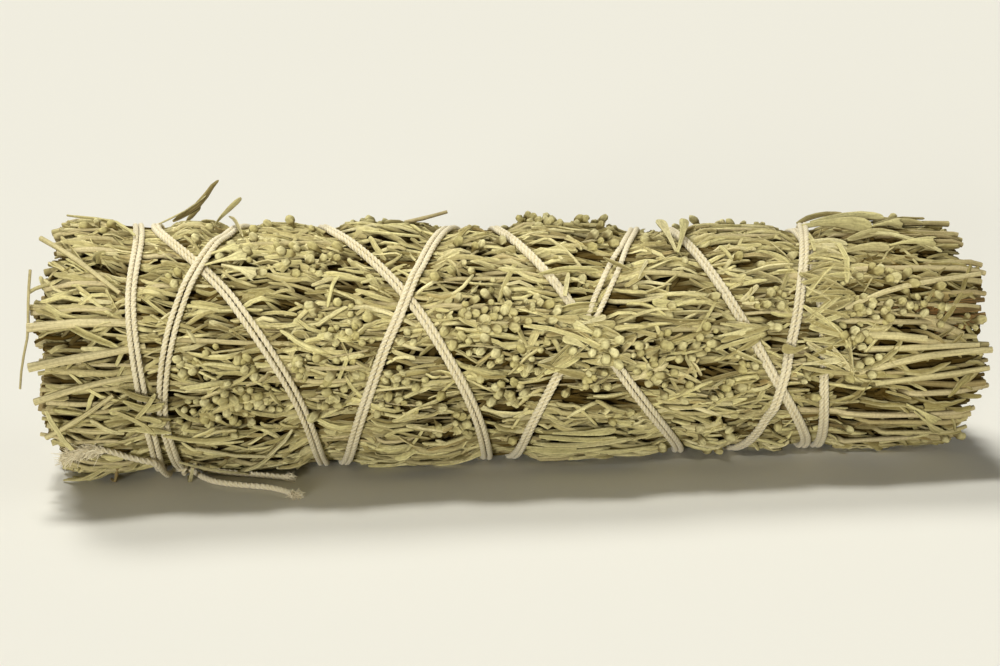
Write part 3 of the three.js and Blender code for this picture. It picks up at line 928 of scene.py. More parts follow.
def add_leaves(handful, rng, kind, x, degrees, depth, end_depth, ends, way=None, long=1.0, spread=1.0):
    """Leaves of one kind from their feet on the stalks, ending near the stick's cut ends."""
    count = len(x)
    _, widths, thicknesses, lengths = LEAF_KINDS[kind]
    if way is None:
        way = np.where(rng.random(count) < 0.5 + 0.45 * np.tanh(x / MIDDLE_REACH), 1.0, -1.0)
    length = rng.uniform(*lengths, count) * MM * long
    length *= np.where((rng.random(count) < LONG_SHARE) & (kind != "wedge"), LONGER, 1.0)
    steep = rng.random(count) < STEEP_SHARE
    slant = np.radians(rng.normal(0, np.where(steep, STEEP_SLANT, SLANT) * spread))
    slant = np.clip(slant, -MOST_SLANT, MOST_SLANT)
    drift = length * np.sin(slant)
    outermost = 1 - np.clip(end_depth / (3 * MM), 0, 1)
    short = rng.gamma(1.3, 1.0, count) * END_SCATTER + OUTER_SHORT * outermost
    stop = np.where(way > 0, ends[1], ends[0]) - way * short
    room = (stop - x) * way
    reaches = length * np.cos(slant) > room
    share = np.clip(room / (length * np.cos(slant)), 0.0, 1.0)
    kept = room > LEAST_ROOM
    cut = reaches & (rng.random(count) < BLUNT_SHARE)
    length, drift = length * share, drift * share
    hook = rng.normal(0, HOOK, count) * length
    bow = rng.normal(0, BOW, count) * length
    loose = np.clip(np.cos(np.radians(degrees)), 0, 1) ** 4  # nothing presses on the leaves on top
    curl = np.where(rng.random(count) < LIFTED_SHARE + 0.2 * loose, rng.gamma(1.6, 0.8, count), 0) * MM
    curl = np.minimum(curl * (1 + 0.7 * loose), 0.35 * length)
    roll = (rng.normal(0, ROLL, count) + math.pi * rng.integers(0, 2, count))[:, None]
    roll = roll + rng.normal(0, TWIST, count)[:, None] * np.linspace(0, 1, MOST_RINGS)
    painted_narrow_end_shade = 0.6 * smooth((x / MM - 60) / 25)  # painted shade: the leaves are darker towards the narrow end
    tone = rng.beta(1.6, 1.6, count) - painted_narrow_end_shade
    age = np.where(rng.random(count) < BROWN_SHARE, 0.6 * rng.random(count), 0)
    age = age + rng.uniform(0, 0.15, count)
    tint = np.stack([tone, age, 0 * x], axis=1)
    width = rng.uniform(*widths, count) * MM
    thickness = rng.uniform(*thicknesses, count) * MM
    seed = rng.random(count)
    for chosen, name in ((kept & ~cut, kind), (kept & cut, "under_cut" if kind == "under" else "cut")):
        if not chosen.any():
            continue
        shape = leaf_shapes[name]
        slim = 1.0 if name == kind else min(1.0, 1.4 * MM / width[chosen].mean())
        routes, out, shade = follow(
            shape.stations, x[chosen], degrees[chosen], depth[chosen], way[chosen], length[chosen],
            drift[chosen], end_depth[chosen], hook[chosen], curl[chosen], bow[chosen]
        )
        lay_along(handful, shape, routes, out, width[chosen] * slim, thickness[chosen],
                  roll[chosen][:, :len(shape.stations)], tint[chosen], seed[chosen], LEAF,
                  LEAF if name == kind else CUT, shade)


END_LEAVES = 0.34  # leaf ends on each square millimetre of an end


def add_end_leaves(handful, rng, inner, outer, degrees, half, ends):
    """Leaf ends that fill a sprig's share of both cut ends, between two distances from the middle."""
    for side in (0, 1):
        count = int((outer ** 2 - inner ** 2) * math.radians(half) / MM ** 2 * END_LEAVES)
        reach = np.sqrt(rng.uniform(inner ** 2, outer ** 2, count))
        way = np.full(count, 1.0 if side else -1.0)
        x = ends[side] - way * rng.uniform(9, 20, count) * MM
        at = degrees + rng.uniform(-half, half, count)
        depth = WIDE_RADIUS - reach
        tip_depth = depth + rng.normal(0, 0.8, count) * MM
        add_leaves(handful, rng, "rod", x, at, depth, tip_depth, ends, way, 1.5)


STALK_RINGS = {"short": 8, "surface": 18, "long": 26}
STALK_TAPER = 0.8  # its far end's share of its width
KNUCKLE = 1.12  # how much wider it is where a leaf has grown, at every sixth ring


def stalk_shape(rings):
    """A six-sided stalk, drawn out from one end to the other."""
    stations = np.linspace(0, 1, rings)
    sizes = [(1 + (STALK_TAPER - 1) * t) * (KNUCKLE if ring % 6 == 3 else 1)
             for ring, t in enumerate(stations)]
    modelled = drawn_out(6, [(t, size, size) for t, size in zip(stations, sizes)])
    bpy.ops.object.mode_set(mode="OBJECT")
    return Shape(modelled, stations)


stalk_shapes = {name: stalk_shape(rings) for name, rings in STALK_RINGS.items()}


def add_stalk(handful, rng, name, x, degrees, depth, thick, old=0.0, dive=(0.0, 0.0)):
    """One stalk through places given at its ends, wandering a little and diving under at each end."""
    shape = stalk_shapes[name]
    t = shape.stations
    xs = x[0] + (x[1] - x[0]) * t
    waves = rng.uniform(0, 6.28, 2)
    turned = degrees[0] + (degrees[1] - degrees[0]) * t + 1.3 * np.sin(xs / (14 * MM) + waves[0])
    deep = depth[0] + (depth[1] - depth[0]) * t + 0.4 * MM * np.sin(xs / (9 * MM) + waves[1])
    deep = deep + dive[0] * smooth(1 - t / 0.25) + dive[1] * smooth((t - 0.75) / 0.25)
    # painted shade from how deep the stalk lies
    shade = depth_shade(deep, xs)[None]
    deep = np.maximum(deep + outline_depth(xs, turned), pressed_depth(xs, turned, 2.2 * MM))
    routes = on_stick(xs, deep, turned, LOWEST_LEAF)[None]
    tint = np.array([[rng.random(), old * rng.uniform(0.3, 1), 0.0]])
    lay_along(handful, shape, routes, outwards(turned)[None], np.array([thick]), np.array([thick]),
              np.zeros((1, len(t))), tint, rng.random(1), STALK, CUT, shade)
    return xs, turned, deep


def bud_shape(crease, crown):
    """A round bud on a short neck: five scales that wind round it, its tip drawn in or opened."""
    bpy.ops.object.select_all(action="DESELECT")
    bpy.ops.mesh.primitive_uv_sphere_add(
        segments=10, ring_count=6, radius=0.5, location=(0.5, 0, 0), rotation=(0, math.pi / 2, 0)
    )
    modelled = bpy.context.object
    bpy.ops.object.transform_apply(location=True, rotation=True)
    bpy.ops.object.mode_set(mode="EDIT")

    def in_crease(co):
        return round(math.degrees(math.atan2(co.z, co.y)) / 36) % 2 == 1

    select_points(modelled, lambda co: 0.05 < co.x < 0.95 and in_crease(co))
    bpy.ops.transform.resize(value=(1, 1 - crease, 1 - crease), center_override=(0.5, 0, 0))
    select_points(modelled, lambda co: 0.6 < co.x < 0.9 and not in_crease(co))
    bpy.ops.transform.resize(value=(1, 1.06, 1.06), center_override=(0.5, 0, 0))
    select_points(modelled, lambda co: co.x > 0.6)
    bpy.ops.transform.rotate(value=math.radians(20), orient_axis="X", center_override=(0.5, 0, 0))
    select_points(modelled, lambda co: co.x > 0.99)
    bpy.ops.transform.translate(value=(-crown, 0, 0))
    select_points(modelled, lambda co: co.x < 0.01)
    bpy.ops.transform.translate(value=(-0.55, 0, 0))
    bpy.ops.object.mode_set(mode="OBJECT")
    shape = Shape(modelled, [0, 0.5, 1])
    reach = np.hypot(shape.side, shape.height)
    place = shape.stations[shape.ring] + shape.ahead
    ball = np.sqrt(np.maximum(0.25 - (place - 0.5) ** 2, 1e-4))
    tip = smooth((1 - place) / 0.3)
    # across marks the creases between the scales, where the bud's finish paints shade
    shape.across = np.where(reach < 0.1, 0, np.clip((reach / ball - 1) * 5, -1, 1) * tip)
    return shape


bud_shapes = [bud_shape(0.14, 0.04), bud_shape(0.2, 0.1), bud_shape(0.16, -0.05)]

# Where the buds are thickest: (from, to) in millimetres along, (from, to) in degrees round, side stalks
BUD_BANDS = [
    ((-78, -45), (78, 120), 24), ((-46, 6), (56, 105), 36), ((5, 38), (74, 104), 20),
    ((44, 73), (66, 96), 18), ((61, 74), (40, 80), 9), ((74, 90), (58, 76), 6), ((-64, -58), (-2, 26), 4),
    ((4, 12), (-10, 4), 4), ((-20, 60), (14, 60), 12), ((-76, -40), (10, 70), 7),
    ((20, 100), (96, 150), 10), ((-92, 96), (0, 360), 24),
    ((-70, -20), (200, 245), 16), ((0, 52), (225, 285), 22), ((-98, -60), (270, 322), 14),
    ((30, 84), (296, 338), 16), ((-40, 12), (310, 350), 12),
]
BUD_WIDTH = (1.35, 2.45)
BUD_TALL = (1.0, 1.55)  # their length, in widths
BUD_ASIDE = (0.2, 1.0)  # how far their feet lie beside the stalk
BUD_RISE = (-0.1, 0.6)  # and above it
BUD_GAP = (1.9, 3.2)
BUD_SHADE = (0.75, 0.16, 0.0)  # painted shade, darker towards its neck
BUD_STALK_LENGTH = (9, 24)


def plan_bud_stalks():
    """Where every side stalk of buds starts, worked out once for the whole stick."""
    rng = np.random.default_rng(11)
    places = []
    for along, around, count in BUD_BANDS:
        for _ in range(count):
            places.append((rng.uniform(*along) * MM, rng.uniform(*around) % 360))
    return np.array(places)


bud_stalks = plan_bud_stalks()


def add_bud_stalk(handful, rng, x, degrees, ends):
    """A thin side stalk with buds to either side of it."""
    length = rng.uniform(*BUD_STALK_LENGTH) * MM
    way = 1 if rng.random() < 0.5 + 0.3 * np.tanh(x / MIDDLE_REACH) else -1
    start = np.clip(x - way * length / 2, ends[0], ends[1])
    stop = np.clip(start + way * length, ends[0] + 1 * MM, ends[1] - 1 * MM)
    slant = rng.normal(0, 7)
    depth = rng.uniform(0.0, 1.0) * MM
    xs, turned, deep = add_stalk(
        handful, rng, "short", (start, stop), (degrees - slant / 2, degrees + slant / 2),
        (depth + 2.0 * MM, depth), rng.uniform(0.5, 0.75) * MM, 0.1
    )
    count = max(3, int(length / MM / rng.uniform(*BUD_GAP)))
    t = np.sort(rng.uniform(0.12, 1.0, count))
    t[-1] = 1.0
    side = np.where(np.arange(count) % 2 == 0, 1.0, -1.0) * rng.uniform(*BUD_ASIDE, count) * MM
    side[-1] = 0
    rise = rng.uniform(*BUD_RISE, count) * MM
    steps = np.linspace(0, 1, len(xs))
    at_x, at_turn, at_deep = (np.interp(t, steps, values) for values in (xs, turned, deep))
    at_turn = at_turn + np.degrees(side / stick_radius(at_x))
    foot = on_stick(at_x, at_deep, at_turn, LOWEST_LEAF)
    out = outwards(at_turn)
    across = np.stack([0 * at_turn, -out[:, 2], out[:, 1]], axis=-1)
    along = np.array([way, 0, 0])
    lean = rng.uniform(0.3, 1.0, count)[:, None]
    axis = unit(along * lean + across * (side / MM)[:, None] * 0.8
                + out * rng.uniform(0.1, 0.9, count)[:, None])
    size = rng.uniform(*BUD_WIDTH, count) * MM
    clear = pressed_depth(at_x, at_turn) < 1.1 * MM
    foot = foot + out * rise[:, None] + axis * (0.25 * size)[:, None]
    kinds = rng.integers(0, len(bud_shapes), count)
    tall = size * rng.uniform(*BUD_TALL, count)
    for kind, shape in enumerate(bud_shapes):
        chosen = clear & (kinds == kind)
        if not chosen.any():
            continue
        tip = foot + axis * tall[:, None]
        routes = np.stack([foot, (foot + tip) / 2, tip], axis=1)[chosen]
        ways_out = np.repeat(out[chosen][:, None], 3, axis=1)
        tint = np.stack([rng.random(count), rng.uniform(0, 0.12, count), 0 * t], axis=1)[chosen]
        roll = np.repeat(rng.uniform(0, 6, count)[chosen][:, None], 3, axis=1)
        # painted shade around each bud's neck
        shade = np.tile(BUD_SHADE, (chosen.sum(), 1))
        lay_along(handful, shape, routes, ways_out, size[chosen], size[chosen], roll, tint,
                  rng.random(chosen.sum()), BUD, None, shade, 0.0)


# Single pieces that stand out, laid one by one: shape, width and thickness in millimetres, how far it is
# turned in degrees, tone, age, then places as (along, degrees round, height above the plain taper)
BY_HAND = {
    "sprig_outer_01": [
        ("blade", 1.8, 0.7, 60, 0.2, 0.3,
         [(-80, 356, 0.3), (-77.4, 350, 1.8), (-74, 350, 4.2), (-71, 350, 8.2), (-69.5, 350, 9.6)]),
        ("rod", 0.6, 0.5, 0, 0.8, 0,
         [(-83, 4, 0.4), (-79, 352, 1.6), (-75.5, 350, 3.6), (-72.5, 350, 6)]),
        ("blade", 1.4, 0.6, 40, 0.15, 0.1, [(-77, 352, 0.2), (-75.5, 350, 1.8), (-73.8, 350, 3.4)]),
        ("spoon", 1.4, 0.6, 70, 0.45, 0,
         [(-70.5, 2, 0.2), (-69, 350, 1.4), (-66.5, 350, 3.8), (-64.5, 350, 5.6)]),
        ("rod", 0.9, 0.8, 0, 0.6, 0,
         [(-104, 350, 1.2), (-97.5, 357, 0.9), (-92, 5, 0.7), (-88, 17, 0.1)]),
        ("stalk", 1.0, 1.0, 0, 0.3, 0.2, [(-27, 350, 0.2), (-22, 350, 1.4), (-17, 350, 2.8)]),
        ("blade", 2.0, 0.6, 35, 0.2, 0.1,
         [(66, 353, 0.8), (69.5, 350, 2.2), (73.5, 349, 3.1), (77.5, 350, 3.3)]),
        ("spoon", 3.3, 0.6, 40, 0.7, 0,
         [(69, 356, 1.2), (75, 352, 2.4), (81, 351, 2.9), (87.5, 351, 2.4)]),
        ("blade", 2.8, 0.6, 15, 0.2, 0.1,
         [(74, 352, 0.8), (80, 353, 1.9), (86, 353, 2.2), (91.5, 352, 1.9)]),
        ("spoon", 4.2, 0.6, 45, 0.6, 0, [(66, 2, 0.6), (71, 4, 1.9), (77, 7, 2.3), (82, 9, 1.7)]),
        ("wedge", 3.4, 0.8, 35, 0.5, 0, [(81, 6, 0.8), (86, 4, 1.9), (90.5, 3, 1.7)]),
        ("cut", 2.2, 1.6, 0, 0.3, 0.3, [(88, 355, 0.8), (96, 354, 1.3), (103, 354, 1.0)]),
        ("blade", 2.3, 0.6, 30, 0.35, 0, [(84, 357, 0.8), (90, 357, 1.9), (96, 359, 1.6)]),
        ("rod", 1.0, 0.9, 0, 0.2, 0.1, [(83, 351, 1.0), (91, 353, 2.4), (97.5, 351, 2.2)]),
    ],
    "sprig_outer_02": [
        ("blade", 0.9, 0.4, 20, 0.95, 0, [(-67.4, 350, 1.3), (-66, 4, 1.4), (-64.2, 20, 0.9)]),
        ("spoon", 2.9, 0.5, 0, 0.9, 0, [(33.6, 30, 1.0), (32.6, 18, 1.6), (32.6, 356, 1.6)]),
        ("spoon", 2.7, 0.5, 15, 0.7, 0, [(33.8, 31, 1.2), (36, 18, 2.0), (38.6, 356, 1.8)]),
        ("rod", 1.2, 0.9, 0, 0.5, 0, [(66, 5, 0.6), (66.3, 20, 1.0), (66, 30, 1.1)]),
        ("blade", 2.6, 0.6, 20, 0.45, 0, [(75, 19, 0.6), (82, 15, 1.7), (88, 15, 1.3)]),
        ("wedge", 3.6, 0.8, 25, 0.6, 0, [(84, 24, 0.5), (90, 23, 1.6), (95.5, 25, 1.5)]),
        ("rod", 1.3, 1.0, 0, 0.8, 0, [(79, 13, 1.0), (86, 17, 1.6), (92.5, 24, 1.3), (96.5, 29, 0.7)]),
        ("spoon", 2.8, 0.6, 15, 0.35, 0, [(70, 31, 0.4), (77, 28, 1.5), (84, 27, 1.2)]),
        ("rod", 1.5, 1.1, 0, 0.55, 0, [(67, 22, 0.6), (71, 22, 1.0), (73, 32, 1.3), (72, 49, 0.7)]),
        ("stalk", 1.2, 1.2, 0, 0.5, 0, [(-108.5, 21, 0.6), (-101, 35, 1.1), (-91, 52, 0.3)]),
    ],
    "sprig_outer_03": [
        ("wedge", 3.4, 0.6, 0, 0.75, 0, [(-73, 38, 0.4), (-68, 36, 1.3), (-63.4, 33, 1.4)]),
        ("wedge", 3.6, 0.6, 0, 0.9, 0, [(-69, 38, 0.6), (-65, 41, 1.2), (-61.4, 44, 1.0)]),
        ("wedge", 2.8, 0.6, 0, 0.7, 0, [(-73.5, 33, 0.2), (-69, 30, 1.0), (-65, 27, 1.2)]),
        ("blade", 1.1, 0.6, 0, 0.3, 0, [(16.5, 34, 0.9), (19.5, 39, 1.3), (23, 41.5, 0.6)]),
        ("blade", 1.5, 0.7, 0, 0.65, 0, [(1, 43.5, 0.6), (8, 41, 1.1), (15, 41, 0.5)]),
        ("cut", 1.2, 0.6, 0, 0.9, 0, [(8, 43, 0.8), (7.3, 49, 1.1), (6.6, 55, 0.9)]),
        ("spoon", 1.1, 0.5, 0, 1.0, 0, [(23.8, 46, 0.5), (25, 41, 1.0), (26.4, 36, 0.9)]),
        ("stalk", 1.4, 1.4, 0, 0.4, 0,
         [(71, 61.5, -0.4), (79.5, 54.5, 1.0), (88, 50, 1.1), (104, 44, 0.9)]),
    ],
    "sprig_woody": [
        ("spoon", 1.5, 0.7, 0, 1.0, 0, [(9, 69, 1.9), (12.3, 67, 2.2), (15.6, 65, 1.3)]),
        ("blade", 1.5, 0.6, 0, 0.75, 0, [(5.3, 65.5, 0.8), (8.6, 70, 1.8), (12.3, 75.5, 1.0)]),
        ("blade", 1.6, 0.6, 0, 0.4, 0.5, [(4, 68, 0.8), (6, 73, 1.3), (8, 78, 0.6)]),
        ("spoon", 2.4, 0.6, 0, 0.45, 0.2, [(1.5, 64, 0.5), (5.5, 66, 1.9), (9.5, 66.5, 1.4)]),
        ("blade", 2.1, 0.6, 20, 0.3, 0.35, [(2, 73, 0.5), (6.5, 71.5, 1.9), (11.5, 74, 1.4)]),
        ("wedge", 2.8, 0.6, 0, 0.75, 0, [(15, 75, 0.4), (11, 71, 1.9), (7.8, 68.5, 1.8)]),
        ("rod", 1.2, 1.0, 0, 0.5, 0,
         [(-3, 68.5, 0.4), (2.5, 70, 1.4), (8, 73.5, 2.1), (13.5, 78, 0.6)]),
        ("spoon", 2.0, 0.6, 0, 0.8, 0, [(12, 80.5, 0.5), (8.8, 76.5, 2.0), (5.5, 74.5, 1.6)]),
        ("stalk", 2.2, 2.0, 0, 0.2, 0,
         [(-110.7, 67, 0.4), (-104, 66, 0.8), (-96, 65, 0), (-91, 64.5, -1.7), (-86, 64, -2.8)]),
        ("blade", 1.9, 0.8, 0, 0.6, 0, [(-104.5, 63, 0.9), (-98.5, 70, 1.3), (-91.5, 75.5, 0.3)]),
        ("old", 1.8, 1.4, 0, 0.05, 0, [(79, 58, -2.2), (85, 59.5, -1.6), (94, 59, -1.6)]),
        ("old", 1.5, 1.2, 0, 0.0, 0, [(92, 60.5, -1.4), (98, 58, -0.9), (104.5, 56.5, -1.2)]),
        ("old", 2.0, 1.5, 0, 0.3, 0, [(86, 62.5, -2.6), (95, 62, -1.9), (103.5, 61, -1.5)]),
        ("old", 1.7, 1.4, 0, 0.15, 0, [(91, 66, -2.8), (97, 66.5, -2.2), (104.5, 64.5, -1.7)]),
        ("old", 1.6, 1.3, 0, 0.5, 0, [(80, 62, -3.2), (86, 64, -3), (92, 66.5, -2.8)]),
    ],
    "sprig_outer_05": [
        ("bud", 2.5, 2.4, 0, 0.7, 0, [(14.4, 77, 1.0), (15.0, 77.5, 2.1), (15.5, 78, 3.2)]),
        ("bud", 2.3, 2.2, 40, 0.9, 0, [(16.2, 80, 1.0), (17.0, 81, 2.0), (17.8, 82.5, 2.8)]),
        ("bud", 2.7, 2.6, 80, 0.6, 0, [(15.4, 82.5, 1.0), (15.0, 84, 2.2), (14.7, 85.5, 3.2)]),
        ("bud", 2.3, 2.3, 20, 0.8, 0, [(17.2, 85, 0.9), (18.0, 86.5, 1.9), (18.8, 88, 2.6)]),
        ("bud", 2.4, 2.3, 60, 0.5, 0, [(13.0, 73, 1.1), (13.3, 72.4, 2.2), (13.9, 71.7, 3.1)]),
        ("bud", 2.2, 2.2, 10, 0.9, 0, [(12.4, 80, 0.9), (12.0, 81, 2.0), (11.3, 82, 2.7)]),
        ("bud", 2.3, 2.2, 30, 0.7, 0, [(17.4, 76, 0.8), (18.3, 75.5, 1.7), (19.4, 75, 2.3)]),
        ("bud", 2.2, 2.1, 70, 0.6, 0, [(7.2, 81, 1.0), (7.7, 80, 2.0), (8.4, 79.4, 2.8)]),
        ("stalk", 2.0, 1.8, 0, 0.4, 0.3, [(88, 64.5, -1.9), (93.5, 69.5, -1.2), (98.7, 75, -0.9)]),
        ("stalk", 1.7, 1.6, 0, 0.4, 0.4, [(89.5, 69.5, -2.1), (94.5, 73, -1.6), (99.5, 77.5, -1.2)]),
        ("old", 1.9, 1.6, 0, 0.1, 0, [(92.5, 76, -2.6), (98, 71.5, -2), (103, 67, -1.6)]),
        ("stalk", 2.1, 2.0, 0, 0.6, 0, [(76, 75, 0), (82, 75.5, 0.6), (89.5, 77, 0.7)]),
        ("stalk", 2.2, 2.1, 0, 0.3, 0,
         [(-110.6, 83.5, 0.5), (-104, 81, 0.9), (-97, 79, 0.2), (-91, 77, -1.6), (-86, 75.5, -2.8)]),
        ("wedge", 3.0, 0.7, 0, 0.8, 0, [(41, 74.5, 0.6), (45.5, 73, 1.2), (49, 73.5, 1.0)]),
        ("spoon", 2.6, 0.6, 10, 0.1, 0.1, [(61, 79.5, 0.6), (58.3, 81.5, 1.5), (55.5, 80, 1.2)]),
        ("blade", 1.0, 0.6, 0, 0.9, 0, [(71, 74, 0.5), (71.5, 85, 1.3), (72.5, 99, 0.6)]),
        ("blade", 1.6, 0.8, 0, 0.4, 0, [(84, 76, 0.3), (82, 82, 1.2), (79, 87, 1.1), (74.5, 92, 0.3)]),
        ("stalk", 1.6, 1.5, 0, 0.5, 0,
         [(75, 82, -0.6), (84, 81.5, 0.4), (92, 81, 0.6), (102, 80.5, 0.3)]),
        ("stalk", 1.9, 1.8, 0, 0.5, 0,
         [(74, 94, -0.6), (87, 86.5, 0.5), (96, 84, 0.8), (105, 83, 0.5)]),
    ],
    "sprig_outer_06": [
        ("blade", 1.8, 0.6, 0, 0.6, 0, [(-91, 99, 0.3), (-86.5, 101.5, 1.6), (-82, 100, 1.0)]),
        ("rod", 1.1, 0.9, 0, 0.45, 0, [(-84, 96, 0.4), (-86, 101, 1.7), (-88.5, 107, 1.0)]),
        ("stalk", 1.6, 1.6, 0, 0.4, 0,
         [(-109.8, 98.5, 0.4), (-101.5, 93, 0.9), (-94, 90, 0), (-88, 89, -2)]),
        ("stalk", 1.3, 1.3, 0, 0.5, 0, [(-108, 116, 0.6), (-100.5, 106, 1.2), (-93, 96, 0.6)]),
        ("cut", 1.3, 0.6, 0, 0.8, 0, [(-107.5, 102, 0.9), (-105.3, 112, 1.7), (-102.7, 123, 1.0)]),
        ("stalk", 1.5, 1.4, 0, 0.6, 0, [(78, 100, -0.4), (90, 96, 0.7), (104.5, 92, 0.6)]),
    ],
    "sprig_outer_07": [
        ("spoon", 2.7, 0.8, 0, 0.7, 0, [(4, 124, 0.2), (11, 123, 1.0), (18.5, 122, 0.8)]),
        ("rod", 1.4, 1.1, 0, 0.6, 0, [(1, 126, 0.3), (7, 127, 0.9), (13, 128.5, 0.9), (19, 129, 0.3)]),
        ("spoon", 2.0, 0.6, 10, 0.5, 0, [(-90, 108, 0.3), (-86.5, 106, 1.5), (-83, 109, 1.2)]),
        ("blade", 1.7, 0.6, -10, 0.7, 0, [(-91, 113, 0.3), (-86.5, 112, 1.5), (-81, 115, 0.9)]),
        ("rod", 1.1, 0.9, 0, 0.35, 0, [(-92.5, 104, 0.4), (-87, 109, 1.6), (-84.5, 116, 1.2)]),
        ("blade", 1.7, 0.8, 0, 0.5, 0, [(-83, 119, -0.4), (-74, 120.5, 0.9), (-64, 118, 0.6)]),
        ("wedge", 3.2, 0.8, 0, 0.6, 0, [(86, 112, 0), (90.5, 117, 0.9), (94, 124, 0.9)]),
        ("wedge", 3.4, 0.8, 10, 0.4, 0, [(88, 116, 0.2), (92, 124, 1.0), (96, 134, 0.6)]),
    ],
    "sprig_outer_08": [
        ("blade", 2.6, 0.8, 0, 0.8, 0,
         [(0, 132, 0.2), (7, 133, 0.8), (15, 131.5, 0.9), (23, 130, 0.3)]),
        ("blade", 2.1, 0.8, 0, 0.6, 0, [(-1, 139, 0.2), (8, 139.5, 0.8), (18, 137, 0.6)]),
        ("cut", 1.7, 0.8, 0, 0.7, 0, [(-1.5, 135.5, 0.2), (4, 136, 0.9), (10, 135.5, 0.9)]),
        ("blade", 2.2, 0.8, 0, 0.7, 0, [(12, 141, 0.2), (20, 141, 0.9), (29, 138, 0.5)]),
        ("rod", 1.0, 0.8, 0, 1.0, 0,
         [(-76, 127, 0.2), (-68, 131, 0.9), (-61.5, 133, 1.2), (-58, 127, 1.2), (-54.5, 116, 0.3)]),
        ("rod", 0.9, 0.7, 0, 0.9, 0, [(-80, 138, 0.3), (-72, 145, 1.2), (-64.5, 152, 1.4)]),
        ("cut", 1.0, 0.5, 0, 1.0, 0, [(-77, 141, 1.0), (-77.8, 150, 3.2), (-78.2, 160, 4.6)]),
        ("blade", 1.1, 0.7, 0, 0.8, 0, [(-68, 158, 0.8), (-62.5, 141, 1.2), (-58, 129, 0.5)]),
        ("blade", 1.8, 0.7, 0, 0.5, 0, [(-96, 141, 0.2), (-101.5, 151, 1.3), (-106.5, 159, 1.6)]),
        ("rod", 1.0, 0.8, 0, 0.7, 0, [(-95, 146, 0.2), (-100, 156, 1.0), (-104.5, 163, 1.0)]),
        ("stalk", 0.9, 0.9, 0, 0.5, 1.0, [(-93.5, 141, -0.5), (-94.6, 153, 1.6), (-95.6, 160, 4.0)]),
    ],
}
# A thin dry twig caught at the wide end and hanging outside it, in millimetres in the part's frame
HANGING_TWIG = [
    (-109.7, -23.6, 52), (-110.4, -24, 46), (-110.9, -24.6, 38), (-112.4, -25, 31.5),
    (-113.1, -25.6, 26),
]
TWIG_TOP = [(-110.3, -23.9, 47), (-108.6, -22, 47.6), (-105, -19, 48)]


def lay_by_hand(handful, rng, name, width, thickness, turned, tone, age, places, laid=None):
    """One shape along places given as above, or along laid, places in millimetres in the part's frame."""
    shape = {"stalk": stalk_shapes["short"], "old": stalk_shapes["short"], "bud": bud_shapes[0]}.get(name)
    shape = shape or leaf_shapes[name]
    finish = {"stalk": STALK, "old": OLD_WOOD, "bud": BUD}.get(name, LEAF)
    if laid is None:
        x, degrees, height = np.array(places, float).T
        degrees = np.degrees(np.unwrap(np.radians(degrees)))
        laid = on_stick(x * MM, -height * MM, degrees, LOWEST_LEAF)
    else:
        laid = np.array(laid) * MM
    line = through(laid, 0.4 * MM)
    run = np.linspace(0, 1, len(line))
    route = np.stack([np.interp(shape.stations, run, line[:, i]) for i in range(3)], axis=1)
    out = unit(route * (0, 1, 1) - (0, 0, WIDE_RADIUS))
    roll = np.full((1, len(shape.stations)), math.radians(turned))
    cap = CUT if name in ("stalk", "old", "cut", "rod") else None
    lay_along(handful, shape, route[None], out[None], np.array([width * MM]), np.array([thickness * MM]),
              roll, np.array([[tone, age, 0.0]]), rng.random(1), finish, cap)


# Stretches of the twine that leaves lie over: middle along in millimetres, from and to in degrees, how many
COVERED = [
    (68.6, 22, 44, 13), (67.2, 44, 92, 30), (-86.4, 97, 112, 4), (10, 60, 68, 4), (12.5, 68, 76, 5),
    (16, 76, 86, 6), (8.5, 74, 82, 4), (5.5, 82, 89, 4), (47, 70, 84, 5),
]


def cover_twine(handful, rng, degrees):
    """Leaves that lie over the twine, from before it to behind it."""
    for middle, low, high, count in COVERED:
        for at in np.linspace(low, high, count):
            if abs(at - degrees) > SPRIG_HALF:
                continue
            x = middle + rng.normal(0, 0.7)
            reach, slant = rng.uniform(3.6, 6.2), rng.normal(0, 5)
            name = rng.choice(("rod", "blade", "spoon"))
            width = rng.uniform(1.0, 1.5) if name == "rod" else rng.uniform(1.3, 2.4)
            turned, tone, age = rng.normal(0, 20), rng.random(), 0.1 * rng.random()
            lay_by_hand(handful, rng, name, width, 0.8, turned, tone, age, [
                (x - reach, at - slant, 0.1), (x - 0.35 * reach, at - 0.3 * slant, 1.1),
                (x + 0.35 * reach, at + 0.3 * slant, 1.2), (x + reach, at + slant, 0.2),
            ])


NARROW_SHORT = 3.2 * MM  # the narrow end is cut a little shorter
BACK_SHORT = 3.4 * MM  # and so are the sprigs at the back, at both ends
FRONT_MIDDLE = 75  # degrees round, where the sprigs are longest
RING_EDGES = np.array([0, 2.6, 11.5, 19.3, 29.4]) * MM
SPRIG_HALF = 10  # degrees to either side of its middle that an outer sprig takes
MAIN_STALK_DEPTH = (7.4 * MM, 7.0 * MM)
MAIN_STALK_WIDTH = (2.2, 2.9)
OUTER_STALKS = 4
SURFACE_STALKS = 5  # bare stalks that show between the leaves
END_STALKS = 3  # and more that show at each end
SMALL_BITS = 80  # short broken leaves that lie any way near the outside, half as many at the back
NODE_GAP = 1.9 * MM
# How the leaves lie over each other: share of them, depth of the tip, how much deeper the foot is
LAYERS = [(0.27, (-0.5, 1.0), (1.5, 3.0)), (0.32, (0.9, 2.4), (1.0, 2.2)), (0.41, (2.5, 5.0), (0.4, 1.6))]


